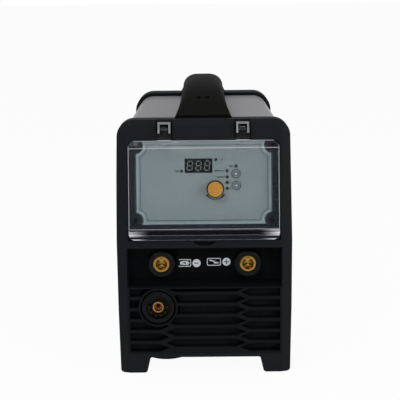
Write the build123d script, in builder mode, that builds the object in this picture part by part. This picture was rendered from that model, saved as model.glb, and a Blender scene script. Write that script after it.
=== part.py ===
# Inverter plasma cutter unit with its own air compressor: two moulded bezels on a sheet steel body,
# a hinged clear cover over the controls, sockets, a carrying handle, and the works inside.
# X runs across the front, Y runs from front to rear, Z runs up from the floor.
import os
from math import cos, radians, sin, tan

from build123d import *

os.makedirs("parts", exist_ok=True)

# ------------------------------------------------------------------ driving sizes, in millimetres
housing_width = 210.0  # across the bezels at their waist
housing_length = 460.0  # front bezel's face to rear bezel's face
bezel_height = 306.3  # floor to the top of either bezel
bezel_depth = 48.0
bezel_wall = 4.0
face_wall = 8.0  # thickness of a bezel's face, over its sloping shoulder
shoulder_width = 13.0  # sloping margin around the flat field of a bezel's face
shoulder_drop = 5.0
edge_radius = 2.5  # rounding around a bezel's face
top_corner_radius = 20.0
rear_corner_radius = 27.0
side_bow = 2.0  # the bezel sides bow out by this much at the waist
waist_height = 163.3  # the front face is upright below this and raked above it
face_rake = 8.0  # degrees
foot_height = 19.3
foot_inner = 71.0  # centre line to a foot's inner side at the floor
foot_draft = 4.5  # a foot's inner side leans by this much

sheet = 1.2  # steel sheet of the body
sheet_step = 5.0  # the body's top lies this far under the bezel tops
sheet_overlap = 8.0  # the body's ends slip this far into the bezels
slip = 0.3  # between pieces that move past each other, or slip together
fit = 0.05  # radial play of a shaft in its hole

panel_depth = 14.0  # control panel behind the front face
panel_thickness = 2.5
label_thickness = 0.4
window_side = 0.8  # cover window in the front face, in from its flat field's sides
window_low = 0.4  # up the raked face from the waist
window_drop = 23.4  # cover window's top below the bezel top, down the raked face
window_radius = 9.0

notch_half = 14.5  # finger notch in the ledge under the cover, half width at its top
notch_floor_half = 6.5
notch_top = 0.6  # below the waist
notch_low = 5.6
notch_depth = 5.5
drip_x = -47.0  # shallow lip on the bezel's lower edge, under the torch socket
drip_half = 19.0
drip_drop = 2.8
lip_setback = 1.0

cover_gap = 1.5  # clear cover to the edge of its window
cover_thickness = 2.5
cover_proud = 3.0  # the clear cover's face before the bezel's face
cover_wall = 2.0
cover_wall_depth = 7.0
lip_out = 6.0  # the cover's lower lip before the bezel's face
lip_height = 12.8
lip_groove = 5.7  # lower band of the lip
cover_bevel = 9.0  # height of the sloping band along the cover's top
cover_bevel_drop = 1.6
cover_notch = 4.0  # depth of the notches that take the hinge arms

hinge_spacing = 93.0  # between the two hinge arms
hinge_pin_radius = 1.5
hinge_barrel_radius = 3.3
hinge_drop = 10.9  # hinge axis below the bezel top, down the raked face
hinge_out = 2.0  # hinge axis before the bezel's face
arm_width = 16.5
arm_neck = 8.3
arm_neck_length = 7.8  # axis to the arm's full width, past the corners of the bracket's legs
bracket_leg = 2.4
bracket_width = 15.3
bracket_rise = 8.0  # top of the bracket above the hinge axis
bracket_web = 2.6
pocket_depth = 6.0

socket_spacing = 104.0  # between the two current sockets
socket_drop = 29.6  # sockets below the waist
socket_bore_radius = 6.6  # takes a 13 mm plug
socket_contact_radius = 10.0
socket_flange_radius = 16.7
recess_side = 1.0  # recess in from the sides of the face's flat field
recess_drop = 9.6  # ledge between the waist and the recess
recess_height = 45.2
recess_depth = 13.0
recess_slope = 4.7  # rise of the recess floor towards the back

torch_side = 35.5  # torch socket in from the left side of the face's flat field
torch_drop = 81.5  # torch socket below the waist
torch_collar_radius = 23.7
torch_hole_radius = 21.5
torch_body_radius = 19.5
torch_dish_radius = 14.6
torch_contact_radius = 6.7
torch_bore_radius = 5.0

slot_share = 0.73  # part of the pitch that is open
middle_drop = 1.0  # middle column below half way between the outer columns' slots
slot_tip = 11.0  # length of a slot's pointed end
slot_drop = 63.4  # uppermost slots of the outer columns below the waist
slot_margin = 11.85  # lowest slots of the outer columns above the bezel's lower edge
slot_rows = 6

fan_size = 120.0
fan_drop = 97.0  # fan's axis below the bezel tops
fan_depth = 38.0
gland_x = 52.0
gland_rise = 45.0  # gland and switch above the bezel's lower edge
gland_bore_radius = 5.5
gland_length = 30.0
switch_x = -52.0

handle_rise = 39.0  # handle's crest above the bezel tops
handle_half = 34.5  # half width of the handle's ends
handle_neck = 28.5  # half width of the grip
handle_seat = 10.0  # length of a handle's end on a bezel
handle_gap = 28.0  # finger room between the grip and the body's top
handle_wall = 3.0
handle_seam = 2.0  # the shells meet this far above what the handle stands on

# ------------------------------------------------------------------ sizes worked out from those
rake = radians(face_rake)
half_width = housing_width / 2
front_reach = lip_out * cos(rake) - (window_low + cover_gap) * sin(rake)
rear_reach = gland_length - face_wall
front_face = -(housing_length + front_reach + rear_reach) / 2 + front_reach
rear_face = front_face + housing_length
front_back = front_face + bezel_depth
rear_back = rear_face - bezel_depth
middle_y = (front_face + rear_face) / 2
field_half = half_width - shoulder_width
window_half = field_half - window_side
raked_top = (bezel_height - waist_height) / cos(rake)
window_high = raked_top - window_drop
hinge_up = raked_top - hinge_drop
recess_half = field_half - recess_side
recess_high = waist_height - recess_drop
recess_low = recess_high - recess_height
socket_height = waist_height - socket_drop
torch_x = torch_side - field_half
torch_height = waist_height - torch_drop
slot_top = waist_height - slot_drop
slot_pitch = (slot_top - foot_height - slot_margin) / (slot_rows - 1)
slot_height = slot_share * slot_pitch
fan_height = bezel_height - fan_drop
gland_height = foot_height + gland_rise
switch_height = gland_height
sheet_top = bezel_height - sheet_step
sheet_half = half_width - side_bow - bezel_wall - slip
sheet_length = rear_back - front_back + 2 * sheet_overlap
body_floor = foot_height + bezel_wall + slip

handle_top = bezel_height + handle_rise
handle_half_length = middle_y - front_back + handle_seat
handle_shoulder_y = handle_half_length - 44
handle_screw_x = 5.2
handle_screw_y = handle_shoulder_y
handle_screw_radius = 2.0
handle_screw_head = 2.8

# Planes: the upright front looking out, the raked face looking out, the rear looking out
front_plane = Plane(origin=(0, front_face, 0), x_dir=(1, 0, 0), z_dir=(0, -1, 0))
rear_plane = Plane(origin=(0, rear_face, 0), x_dir=(-1, 0, 0), z_dir=(0, 1, 0))
raked_plane = Plane(
    origin=(0, front_face, waist_height), x_dir=(1, 0, 0), z_dir=(0, -cos(rake), sin(rake))
)
# Section through the raked face: along it is up the face, across it is out of the face
raked_section = Plane(
    origin=(0, front_face, waist_height), x_dir=(0, sin(rake), cos(rake)), z_dir=(1, 0, 0)
)


# ------------------------------------------------------------------ the bezels' common shape
def bezel_outline(inset, low, corner):
    """Outline of a bezel, drawn in from its outside by inset and standing at height low."""
    with BuildSketch() as outline:
        with BuildLine():
            side = ThreePointArc(
                (half_width - side_bow - inset, low),
                (half_width - inset, waist_height),
                (half_width - side_bow - inset, bezel_height - inset),
            )
            Line(side @ 1, (0, bezel_height - inset))
            Line((0, low), side @ 0)
            mirror(about=Plane.YZ)
        make_face()
        corners = [v for v in outline.vertices() if v.Y > bezel_height - inset - 1 and abs(v.X) > 1]
        fillet(corners, corner - inset)
    return outline.sketch


def footed_outline(corner):
    """A bezel's whole outline, with the gap between its two feet."""
    lean = foot_draft / foot_height
    with BuildSketch() as outline:
        add(bezel_outline(0, 0, corner))
        with BuildLine():
            Polyline(
                (-foot_inner - lean, -1),
                (-foot_inner + foot_draft, foot_height),
                (foot_inner - foot_draft, foot_height),
                (foot_inner + lean, -1),
                close=True,
            )
        make_face(mode=Mode.SUBTRACT)
        fillet([v for v in outline.vertices() if v.Y < 1], edge_radius + 1.5)
        fillet([v for v in outline.vertices() if foot_height - 0.1 < v.Y < foot_height + 0.1], edge_radius)
    return outline.sketch


def shouldered_block(plane, low, high, keep):
    """A block whose front is a flat field on the plane, with shoulders sloping back around it."""
    spread = shoulder_width + 2
    drop = shoulder_drop * spread / shoulder_width
    field_top = high - shoulder_width * 0.6
    height = field_top - low
    middle = (low + field_top) / 2
    radius = top_corner_radius / 2
    with BuildPart() as block:
        with BuildSketch(plane):
            with Locations((0, middle)):
                RectangleRounded(2 * field_half, height, radius)
        with BuildSketch(plane.offset(-drop)):
            with Locations((0, middle)):
                RectangleRounded(2 * (field_half + spread), height + 2 * spread, radius + spread)
        loft()
        with BuildSketch(plane.offset(-drop)):
            with Locations((0, middle)):
                RectangleRounded(2 * (field_half + spread), height + 2 * spread, radius + spread)
        extrude(amount=-2 * bezel_depth)
        split(bisect_by=Plane.XY.offset(waist_height), keep=keep)
    return block.part


def bezel_blank(plane, form, corner):
    """A solid bezel: its outline drawn back from the plane, its face shaped by the form."""
    with BuildPart() as blank:
        with BuildSketch(plane):
            add(footed_outline(corner))
        extrude(amount=-bezel_depth)
        add(form, mode=Mode.INTERSECT)
    return blank.part


far_below = -2 * bezel_height
upper_front = shouldered_block(raked_plane, far_below, raked_top, Keep.TOP)
lower_front = shouldered_block(front_plane, far_below, 2 * bezel_height, Keep.BOTTOM)
front_blank = bezel_blank(front_plane, upper_front + lower_front, top_corner_radius)
upper_rear = shouldered_block(rear_plane, far_below, bezel_height, Keep.TOP)
lower_rear = shouldered_block(rear_plane, far_below, 2 * bezel_height, Keep.BOTTOM)
rear_blank = bezel_blank(rear_plane, upper_rear + lower_rear, rear_corner_radius)


# ------------------------------------------------------------------ front bezel
# Moulded frame: a window over the controls, a window over the sockets and grille, two hinge pockets
grille_half = field_half + 1
grille_low = foot_height + bezel_wall + 0.5
lower_window_top = recess_high + 1 + slip / 2
pocket_half = arm_width / 2 + 1.5
pocket_low = window_high - 2
raked_back = bezel_height - waist_height
with BuildPart() as front_hollow:
    with BuildSketch(front_plane.offset(-bezel_depth)):
        add(bezel_outline(bezel_wall, foot_height + bezel_wall, top_corner_radius))
    extrude(amount=bezel_depth)
    with BuildSketch(Plane.YZ):
        with BuildLine():
            Polyline(
                (front_face + face_wall, 0),
                (front_face + face_wall, waist_height),
                (front_face + face_wall + raked_back * tan(rake), bezel_height),
                (front_back, bezel_height),
                (front_back, 0),
                close=True,
            )
        make_face()
    extrude(amount=housing_width, both=True, mode=Mode.INTERSECT)

with BuildPart() as front_bezel:
    add(front_blank)
    add(front_hollow.part, mode=Mode.SUBTRACT)
    with BuildSketch(raked_plane.offset(face_wall)):
        with Locations((0, (window_low + window_high) / 2)):
            RectangleRounded(2 * window_half, window_high - window_low, window_radius)
        with Locations((0, window_low + window_radius)):
            Rectangle(2 * window_half, 2 * window_radius)
    extrude(amount=-3 * face_wall, mode=Mode.SUBTRACT)
    with BuildSketch(front_plane.offset(face_wall)):
        with Locations((0, (grille_low + lower_window_top) / 2)):
            Rectangle(2 * grille_half, lower_window_top - grille_low)
    extrude(amount=-3 * face_wall, mode=Mode.SUBTRACT)
    for side in (-1, 1):
        with BuildSketch(raked_plane.offset(-pocket_depth)):
            with Locations((side * hinge_spacing / 2, pocket_low + raked_top / 4)):
                Rectangle(2 * pocket_half, raked_top / 2)
        extrude(amount=2 * face_wall, mode=Mode.SUBTRACT)
    # finger notch under the clear cover's lip
    with BuildSketch(front_plane):
        with BuildLine():
            Polyline(
                (-notch_half, waist_height - notch_top),
                (notch_half, waist_height - notch_top),
                (notch_floor_half, waist_height - notch_low),
                (-notch_floor_half, waist_height - notch_low),
                close=True,
            )
        make_face()
    extrude(amount=-notch_depth, mode=Mode.SUBTRACT)
    # drip lip under the torch socket
    with BuildSketch(front_plane.offset(-lip_setback)):
        with BuildLine():
            lip_arc = ThreePointArc(
                (drip_x - drip_half, foot_height),
                (drip_x, foot_height - drip_drop),
                (drip_x + drip_half, foot_height),
            )
            Line(lip_arc @ 0, lip_arc @ 1)
        make_face()
    extrude(amount=-bezel_depth / 2)
front_bezel.part.label = "front_bezel"
export_step(front_bezel.part, "parts/front_bezel.step")

# ------------------------------------------------------------------ rear bezel
panel_half = field_half - 4
panel_low = foot_height + 13
panel_high = bezel_height - 20
with BuildPart() as rear_bezel:
    add(rear_blank)
    with BuildSketch(rear_plane.offset(-bezel_depth)):
        add(bezel_outline(bezel_wall, foot_height + bezel_wall, rear_corner_radius))
    extrude(amount=bezel_depth - face_wall, mode=Mode.SUBTRACT)
    with BuildSketch(rear_plane):
        with Locations((0, (panel_low + panel_high) / 2)):
            RectangleRounded(2 * panel_half, panel_high - panel_low, window_radius)
    extrude(amount=-2 * face_wall, mode=Mode.SUBTRACT)
rear_bezel.part.label = "rear_bezel"
export_step(rear_bezel.part, "parts/rear_bezel.step")

# ------------------------------------------------------------------ sheet steel body
tray_half = sheet_half - sheet - slip
tray_rise = 42.0
cover_screw_radius = 3.5
cover_screw_shank = 1.75


def cover_screw_rods(radius, inner, outer):
    """Level round pieces at the cover's screws, three to a side, between two distances from the middle."""
    with BuildPart() as rods:
        for side in (-1, 1):
            with BuildSketch(Plane.YZ.offset(side * inner)):
                with Locations((middle_y, body_floor + tray_rise / 2)):
                    with GridLocations(sheet_length / 2 - 30, 1, 3, 1):
                        Circle(radius)
            extrude(amount=side * (outer - inner))
    return rods.part


louvre_length = 46.0
louvre_height = 3.0
louvre_pitch = 9.0
louvre_rows = 8
with BuildPart() as top_cover:
    with BuildSketch(front_plane.offset(sheet_overlap - bezel_depth)):
        with BuildLine():
            cover_path = FilletPolyline(
                (-sheet_half, body_floor),
                (-sheet_half, sheet_top),
                (sheet_half, sheet_top),
                (sheet_half, body_floor),
                radius=rear_corner_radius - bezel_wall,
            )
            offset(amount=-sheet, side=Side.RIGHT)
        make_face()
    extrude(amount=-sheet_length)
    for middle in (-housing_length / 4, housing_length / 4):
        with BuildSketch(Plane.YZ):
            with Locations((middle_y + middle, waist_height + louvre_rows * louvre_pitch / 2)):
                with GridLocations(louvre_length + louvre_pitch, louvre_pitch, 2, louvre_rows):
                    SlotOverall(louvre_length, louvre_height)
        extrude(amount=housing_width, both=True, mode=Mode.SUBTRACT)
    with BuildSketch(Plane.XY.offset(sheet_top + 1)):
        with Locations((0, middle_y)):
            with GridLocations(2 * handle_screw_x, 2 * handle_screw_y, 2, 2):
                Circle(handle_screw_radius + slip)
    extrude(amount=-5, mode=Mode.SUBTRACT)
    add(cover_screw_rods(cover_screw_shank + fit, sheet_half - 5, sheet_half + 5), mode=Mode.SUBTRACT)
top_cover.part.label = "top_cover"
export_step(top_cover.part, "parts/top_cover.step")

with BuildPart() as base_tray:
    with BuildSketch(front_plane.offset(sheet_overlap - bezel_depth)):
        with BuildLine():
            FilletPolyline(
                (-tray_half, body_floor + tray_rise),
                (-tray_half, body_floor),
                (tray_half, body_floor),
                (tray_half, body_floor + tray_rise),
                radius=3 * sheet,
            )
            offset(amount=sheet, side=Side.LEFT)
        make_face()
    extrude(amount=-sheet_length)
    add(cover_screw_rods(cover_screw_shank + fit, sheet_half - 5, sheet_half + 5), mode=Mode.SUBTRACT)
base_tray.part.label = "base_tray"
export_step(base_tray.part, "parts/base_tray.step")

# Shelf that carries the inverter over the compressor, its edges turned down
shelf_height = foot_height + 133
shelf_front = front_back + 10
shelf_rear = rear_face - face_wall - sheet - fan_depth - 10
with BuildPart() as shelf_plate:
    with BuildSketch(Plane.XZ.offset(-shelf_front)):
        with BuildLine():
            FilletPolyline(
                (-tray_half, shelf_height - 14),
                (-tray_half, shelf_height),
                (tray_half, shelf_height),
                (tray_half, shelf_height - 14),
                radius=3 * sheet,
            )
            offset(amount=-sheet, side=Side.RIGHT)
        make_face()
    extrude(amount=shelf_front - shelf_rear)
shelf_plate.part.label = "shelf_plate"
export_step(shelf_plate.part, "parts/shelf_plate.step")

# Self-tapping screws that hold the cover to the tray
with BuildPart() as cover_screws:
    add(cover_screw_rods(cover_screw_radius, sheet_half, sheet_half + 1.6))
    add(cover_screw_rods(cover_screw_shank, sheet_half - 8, sheet_half))
cover_screws.part.label = "cover_screws"
export_step(cover_screws.part, "parts/cover_screws.step")

# ------------------------------------------------------------------ carrying handle
# Two shells that meet along the grip; the ends flare out and stand on the bezels
ramp_length = 84.0
curve_length = 130.0
ramp_y = handle_half_length - ramp_length
grip_y = handle_half_length - curve_length
handle_floor = sheet_top
grip_low = sheet_top + handle_gap
gap_half = handle_shoulder_y - 18
gap_lean = 14.0
handle_stations = (
    (handle_half_length, handle_half, bezel_height + 3.5, 4),
    (handle_shoulder_y, handle_neck, bezel_height + 0.54 * handle_rise, 8),
    (ramp_y, handle_neck - 0.5, bezel_height + 0.8 * handle_rise, 14),
    (grip_y, handle_neck, bezel_height + 0.94 * handle_rise, 20),
    (0, handle_neck, handle_top, 24.5),
)


def handle_form(inset):
    """The handle's outer form, or its hollow when drawn in by a wall."""
    mirrored = [(-y, w, top, r) for y, w, top, r in handle_stations]
    stations = mirrored + [s for s in reversed(handle_stations) if s[0] > 0]
    with BuildPart() as form:
        for y, half, top, radius in stations:
            with BuildSketch(Plane.XZ.offset(-(middle_y + y))) as section:
                height = top - inset - (handle_floor - 2)
                with Locations((0, handle_floor - 2 + height / 2)):
                    Rectangle(2 * (half - inset), height)
                fillet([v for v in section.vertices() if v.Y > handle_floor], max(radius - inset, 0.5))
        loft()
    return form.part


handle_screw_seat = bezel_height + 10
bezel_edge_y = middle_y - front_back


def under_handle(lift):
    """What lies under the handle, raised by lift: finger gap, body top and bezel tops."""
    low = handle_floor - 10
    gap_end = gap_half + lift
    gap_flat = gap_half - gap_lean + lift
    seat = bezel_edge_y - slip - lift
    beyond = handle_half_length + 10
    right = [
        (gap_flat, grip_low + lift),
        (gap_end, handle_floor + lift),
        (seat, handle_floor + lift),
        (seat, bezel_height + lift),
        (beyond, bezel_height + lift),
        (beyond, low),
    ]
    points = right + [(-y, z) for y, z in reversed(right)]
    with BuildPart() as space:
        with BuildSketch(Plane.YZ):
            with BuildLine():
                Polyline([(middle_y + y, z) for y, z in points], close=True)
            make_face()
        extrude(amount=2 * handle_half, both=True)
    return space.part


def handle_screw_holes(radius, low, high):
    """Upright round pieces at the handle's four screws, from low to high."""
    with BuildPart() as holes:
        with BuildSketch(Plane.XY.offset(low)):
            with Locations((0, middle_y)):
                with GridLocations(2 * handle_screw_x, 2 * handle_screw_y, 2, 2):
                    Circle(radius)
        extrude(amount=high - low)
    return holes.part


def handle_posts():
    """Posts inside the upper shell that the four screws go through, their tops within its wall."""
    with BuildPart() as posts:
        add(handle_screw_holes(handle_screw_head + handle_wall, bezel_height + handle_wall, handle_top))
        add(handle_form(handle_wall / 2), mode=Mode.INTERSECT)
    return posts.part


handle_outer = handle_form(0)
with BuildPart() as handle_shell:
    add(handle_outer)
    add(under_handle(handle_seam), mode=Mode.SUBTRACT)
    add(handle_form(handle_wall), mode=Mode.SUBTRACT)
    add(handle_posts())
    add(handle_screw_holes(handle_screw_head + slip, handle_screw_seat, handle_top + 5), mode=Mode.SUBTRACT)
    add(handle_screw_holes(handle_screw_radius + slip, 0, handle_top), mode=Mode.SUBTRACT)
handle_shell.part.label = "handle_shell"
export_step(handle_shell.part, "parts/handle_shell.step")

with BuildPart() as handle_lower_shell:
    add(handle_outer)
    add(under_handle(handle_seam), mode=Mode.INTERSECT)
    add(under_handle(0), mode=Mode.SUBTRACT)
    add(handle_screw_holes(handle_screw_radius + slip, 0, handle_top), mode=Mode.SUBTRACT)
handle_lower_shell.part.label = "handle_lower_shell"
export_step(handle_lower_shell.part, "parts/handle_lower_shell.step")

with BuildPart() as handle_screws:
    add(handle_screw_holes(handle_screw_radius, sheet_top - 8, handle_screw_seat))
    add(handle_screw_holes(handle_screw_head, handle_screw_seat, handle_screw_seat + 2.4))
handle_screws.part.label = "handle_screws"
export_step(handle_screws.part, "parts/handle_screws.step")

# ------------------------------------------------------------------ control panel
# Moulded tray behind the cover window; the label, the display and the keys are on its plate
tray_wall = 2.0
tray_margin = 1.3
display_x = -6.2
display_up = window_high - 31.6
display_width = 33.4
display_height = 17.4
knob_x = 13.65
knob_up = window_high - 59.8
knob_radius = 9.0
knob_skirt_radius = 10.5
knob_face = -0.9  # the knob's face against the front face
encoder_shaft_radius = 3.0
encoder_bush_radius = 3.5
key_radius = 5.8
key_travel = 0.8
key_places = {"mode_button": (38.6, window_high - 41.6), "select_button": (38.8, window_high - 55.7)}
lamp_radius = 1.1
lamp_drops = [(-26.6, 38.0), (14.6, 24.5), (38.7, 32.3)]
lamp_drops += [(28.0, drop) for drop in (38.0, 45.4, 52.0, 59.1)]
lamp_places = [(x, window_high - drop) for x, drop in lamp_drops]
label_half = window_half - 10.3
label_low = 19.2
label_high = window_high - 2.6
label_notch = 9.0
panel_screw_x = window_half - 9.7
panel_screw_low = 24.5
panel_screw_high = window_high - 8
board_depth = 24.0  # component face of the control board behind the front face
board_thickness = 1.6
panel_back = panel_depth + panel_thickness
pocket_width = 2 * (window_half + tray_margin)
pocket_bottom = window_low - 2 * tray_margin
pocket_top = window_high + tray_margin
pocket_middle = (pocket_bottom + pocket_top) / 2
panel_screw_places = [
    (x, up) for x in (-panel_screw_x, panel_screw_x) for up in (panel_screw_low, panel_screw_high)
]


def raked_rods(places, radius, outer, inner):
    """Round pieces square to the raked face, between two depths behind it."""
    with BuildPart() as rods:
        with BuildSketch(raked_plane.offset(-outer)):
            with Locations(*places):
                Circle(radius)
        extrude(amount=outer - inner)
    return rods.part


def tray_outline(wall):
    """The tray's opening, or its outside with a wall round it: round above and square below."""
    width = pocket_width + 2 * wall
    with BuildSketch() as outline:
        with Locations((0, pocket_middle)):
            RectangleRounded(width, pocket_top - pocket_bottom + 2 * wall, window_radius)
        with Locations((0, pocket_bottom - wall + window_radius)):
            Rectangle(width, 2 * window_radius)
    return outline.sketch


with BuildPart() as control_panel_plate:
    with BuildSketch(raked_plane.offset(-panel_back)):
        add(tray_outline(tray_wall))
    extrude(amount=panel_back - face_wall)
    with BuildSketch(raked_plane.offset(-panel_depth)):
        add(tray_outline(0))
    extrude(amount=panel_depth, mode=Mode.SUBTRACT)
    with BuildSketch(raked_plane.offset(-panel_back)):
        with Locations(*[(x * 0.8, up) for x, up in panel_screw_places]):
            Circle(encoder_shaft_radius)
    extrude(amount=panel_back - board_depth)
    with BuildSketch(raked_plane.offset(-panel_depth)):
        with Locations((display_x, display_up)):
            Rectangle(display_width, display_height)
    extrude(amount=-2 * panel_thickness, mode=Mode.SUBTRACT)
    add(
        raked_rods(key_places.values(), key_radius + slip, panel_depth - 1, panel_back + 1),
        mode=Mode.SUBTRACT,
    )
    add(raked_rods(lamp_places, lamp_radius + fit, panel_depth - 1, panel_back + 1), mode=Mode.SUBTRACT)
    add(
        raked_rods([(knob_x, knob_up)], encoder_bush_radius + fit, panel_depth - 1, panel_back + 1),
        mode=Mode.SUBTRACT,
    )
    add(raked_rods(panel_screw_places, 1.5 + fit, panel_depth - 1, panel_back + 1), mode=Mode.SUBTRACT)
    # below the waist it clears the upright face's wall
    with BuildSketch(front_plane.offset(-face_wall)):
        with Locations((0, waist_height / 2)):
            Rectangle(housing_width, waist_height)
    extrude(amount=panel_depth, mode=Mode.SUBTRACT)
control_panel_plate.part.label = "control_panel_plate"
export_step(control_panel_plate.part, "parts/control_panel_plate.step")

with BuildPart() as panel_label:
    with BuildSketch(raked_plane.offset(-panel_depth)):
        with Locations((0, (label_low + label_high) / 2)):
            Rectangle(2 * label_half, label_high - label_low)
        with Locations(*[(x, up) for x, up in panel_screw_places]):
            Circle(label_notch, mode=Mode.SUBTRACT)
        with Locations((display_x, display_up)):
            Rectangle(display_width, display_height, mode=Mode.SUBTRACT)
        with Locations(*key_places.values()):
            Circle(key_radius + slip, mode=Mode.SUBTRACT)
        with Locations(*lamp_places):
            Circle(lamp_radius + fit, mode=Mode.SUBTRACT)
        with Locations((knob_x, knob_up)):
            Circle(encoder_bush_radius + fit, mode=Mode.SUBTRACT)
    extrude(amount=label_thickness)
panel_label.part.label = "panel_label"
export_step(panel_label.part, "parts/panel_label.step")

with BuildPart() as panel_screws:
    add(raked_rods(panel_screw_places, 3.2, panel_depth - 1.8, panel_depth))
    add(raked_rods(panel_screw_places, 1.5, panel_depth, panel_back + 5))
panel_screws.part.label = "panel_screws"
export_step(panel_screws.part, "parts/panel_screws.step")

with BuildPart() as display_window:
    with BuildSketch(raked_plane.offset(-panel_depth)):
        with Locations((display_x, display_up)):
            Rectangle(display_width - 2 * fit, display_height - 2 * fit)
    extrude(amount=-1.2)
display_window.part.label = "display_window"
export_step(display_window.part, "parts/display_window.step")

with BuildPart() as display_module:
    with BuildSketch(raked_plane.offset(-panel_depth - 1.2)):
        with Locations((display_x, display_up)):
            Rectangle(display_width - 2, display_height - 1)
    extrude(amount=panel_depth + 1.2 - board_depth)
display_module.part.label = "display_module"
export_step(display_module.part, "parts/display_module.step")

with BuildPart() as control_board:
    with BuildSketch(raked_plane.offset(-board_depth)):
        with Locations((0, (panel_screw_low + panel_screw_high) / 2)):
            Rectangle(2 * panel_screw_x - 16, panel_screw_high - panel_screw_low + 6)
    extrude(amount=-board_thickness)
control_board.part.label = "control_board"
export_step(control_board.part, "parts/control_board.step")

with BuildPart() as encoder_body:
    with BuildSketch(raked_plane.offset(-board_depth)):
        with Locations((knob_x, knob_up)):
            Rectangle(12, 12)
    extrude(amount=board_depth - panel_back - slip)
    add(raked_rods([(knob_x, knob_up)], encoder_bush_radius, panel_depth, board_depth - 1))
    add(
        raked_rods([(knob_x, knob_up)], encoder_shaft_radius + fit, panel_depth - 1, board_depth - 1.5),
        mode=Mode.SUBTRACT,
    )
encoder_body.part.label = "encoder_body"
export_step(encoder_body.part, "parts/encoder_body.step")

knob_low = panel_depth - label_thickness - slip
hub_radius = 5.0
cap_low = knob_low - 1.7
with BuildPart() as encoder_shaft:
    add(raked_rods([(knob_x, knob_up)], encoder_shaft_radius, -knob_face + 5, board_depth - 2))
encoder_shaft.part.label = "encoder_shaft"
export_step(encoder_shaft.part, "parts/encoder_shaft.step")

with BuildPart() as current_knob:
    add(raked_rods([(knob_x, knob_up)], knob_skirt_radius, cap_low, knob_low))
    add(raked_rods([(knob_x, knob_up)], hub_radius, -knob_face + 2.5, knob_low))
    add(
        raked_rods([(knob_x, knob_up)], encoder_shaft_radius, -knob_face + 5, knob_low + 1),
        mode=Mode.SUBTRACT,
    )
current_knob.part.label = "current_knob"
export_step(current_knob.part, "parts/current_knob.step")

flute_count = 24
with BuildPart() as knob_cap:
    add(raked_rods([(knob_x, knob_up)], knob_radius, -knob_face, cap_low))
    add(raked_rods([(knob_x, knob_up)], hub_radius, -knob_face + 2.5, cap_low + 1), mode=Mode.SUBTRACT)
    with BuildSketch(raked_plane.offset(knob_face - 2)):
        with Locations((knob_x, knob_up)):
            with PolarLocations(knob_radius + 0.3, flute_count):
                Circle(0.8)
    extrude(amount=-2 * panel_depth, mode=Mode.SUBTRACT)
knob_cap.part.label = "knob_cap"
export_step(knob_cap.part, "parts/knob_cap.step")

# Two push keys, each a cap with a flange behind the plate and a stem over its switch
key_flange_face = panel_back + slip
key_flange_back = key_flange_face + 0.8
switch_tip = board_depth - 4.1
for name, place in key_places.items():
    with BuildPart() as key:
        add(raked_rods([place], key_radius, panel_depth - label_thickness - 0.5, key_flange_face))
        add(raked_rods([place], key_radius + 1.0, key_flange_face, key_flange_back))
        add(raked_rods([place], 1.5, key_flange_back, switch_tip - key_travel - slip))
    key.part.label = name
    export_step(key.part, f"parts/{name}.step")

with BuildPart() as key_switches:
    with BuildSketch(raked_plane.offset(-board_depth)):
        with Locations(*key_places.values()):
            Rectangle(6, 6)
    extrude(amount=3.4)
    add(raked_rods(key_places.values(), 1.7, switch_tip, board_depth))
key_switches.part.label = "key_switches"
export_step(key_switches.part, "parts/key_switches.step")

with BuildPart() as indicator_lamps:
    add(raked_rods(lamp_places, lamp_radius, panel_depth - label_thickness - 0.1, board_depth))
indicator_lamps.part.label = "indicator_lamps"
export_step(indicator_lamps.part, "parts/indicator_lamps.step")

# ------------------------------------------------------------------ hinged clear cover
cover_half = window_half - cover_gap
cover_low = window_low + 1.0
cover_high = window_high - cover_gap
cover_inner = cover_proud - cover_thickness
lip_high = cover_low + lip_height
hinge_places = (-hinge_spacing / 2, hinge_spacing / 2)
notch_low_up = cover_high - cover_notch
with BuildPart() as clear_cover:
    with BuildSketch(raked_section.offset(-cover_half)):
        with BuildLine():
            Polyline(
                (cover_low, cover_inner),
                (cover_low, lip_out),
                (cover_low + lip_groove - 0.6, lip_out),
                (cover_low + lip_groove, lip_out - 1.2),
                (cover_low + lip_groove + 0.6, lip_out - 0.8),
                (lip_high - 1, lip_out - 0.8),
                (lip_high, cover_proud),
                (cover_high - cover_bevel, cover_proud),
                (cover_high, cover_proud - cover_bevel_drop),
                (cover_high, cover_inner),
                close=True,
            )
        make_face()
    extrude(amount=2 * cover_half)
    # side and top walls that stand into the window
    wall_low = cover_low + 5
    wall_high = cover_high - cover_bevel
    with BuildSketch(raked_plane.offset(-cover_wall_depth)):
        with Locations((0, (wall_low + wall_high) / 2)):
            Rectangle(2 * cover_half - 1, wall_high - wall_low)
            Rectangle(2 * (cover_half - cover_wall) - 1, wall_high - wall_low, mode=Mode.SUBTRACT)
    extrude(amount=cover_wall_depth + cover_inner)
    with BuildSketch(raked_plane.offset(-2 * cover_wall_depth)) as cover_outline:
        with Locations((0, (cover_low + cover_high) / 2)):
            Rectangle(2 * cover_half, cover_high - cover_low)
        fillet(cover_outline.vertices().group_by(Axis.Z)[-1], window_radius - cover_gap / 2)
        with Locations(*[(x, cover_high) for x in hinge_places]):
            Rectangle(arm_width + 2 * slip, 2 * (cover_high - notch_low_up), mode=Mode.SUBTRACT)
    extrude(amount=4 * cover_wall_depth, mode=Mode.INTERSECT)
clear_cover.part.label = "clear_cover"
export_step(clear_cover.part, "parts/clear_cover.step")

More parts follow.
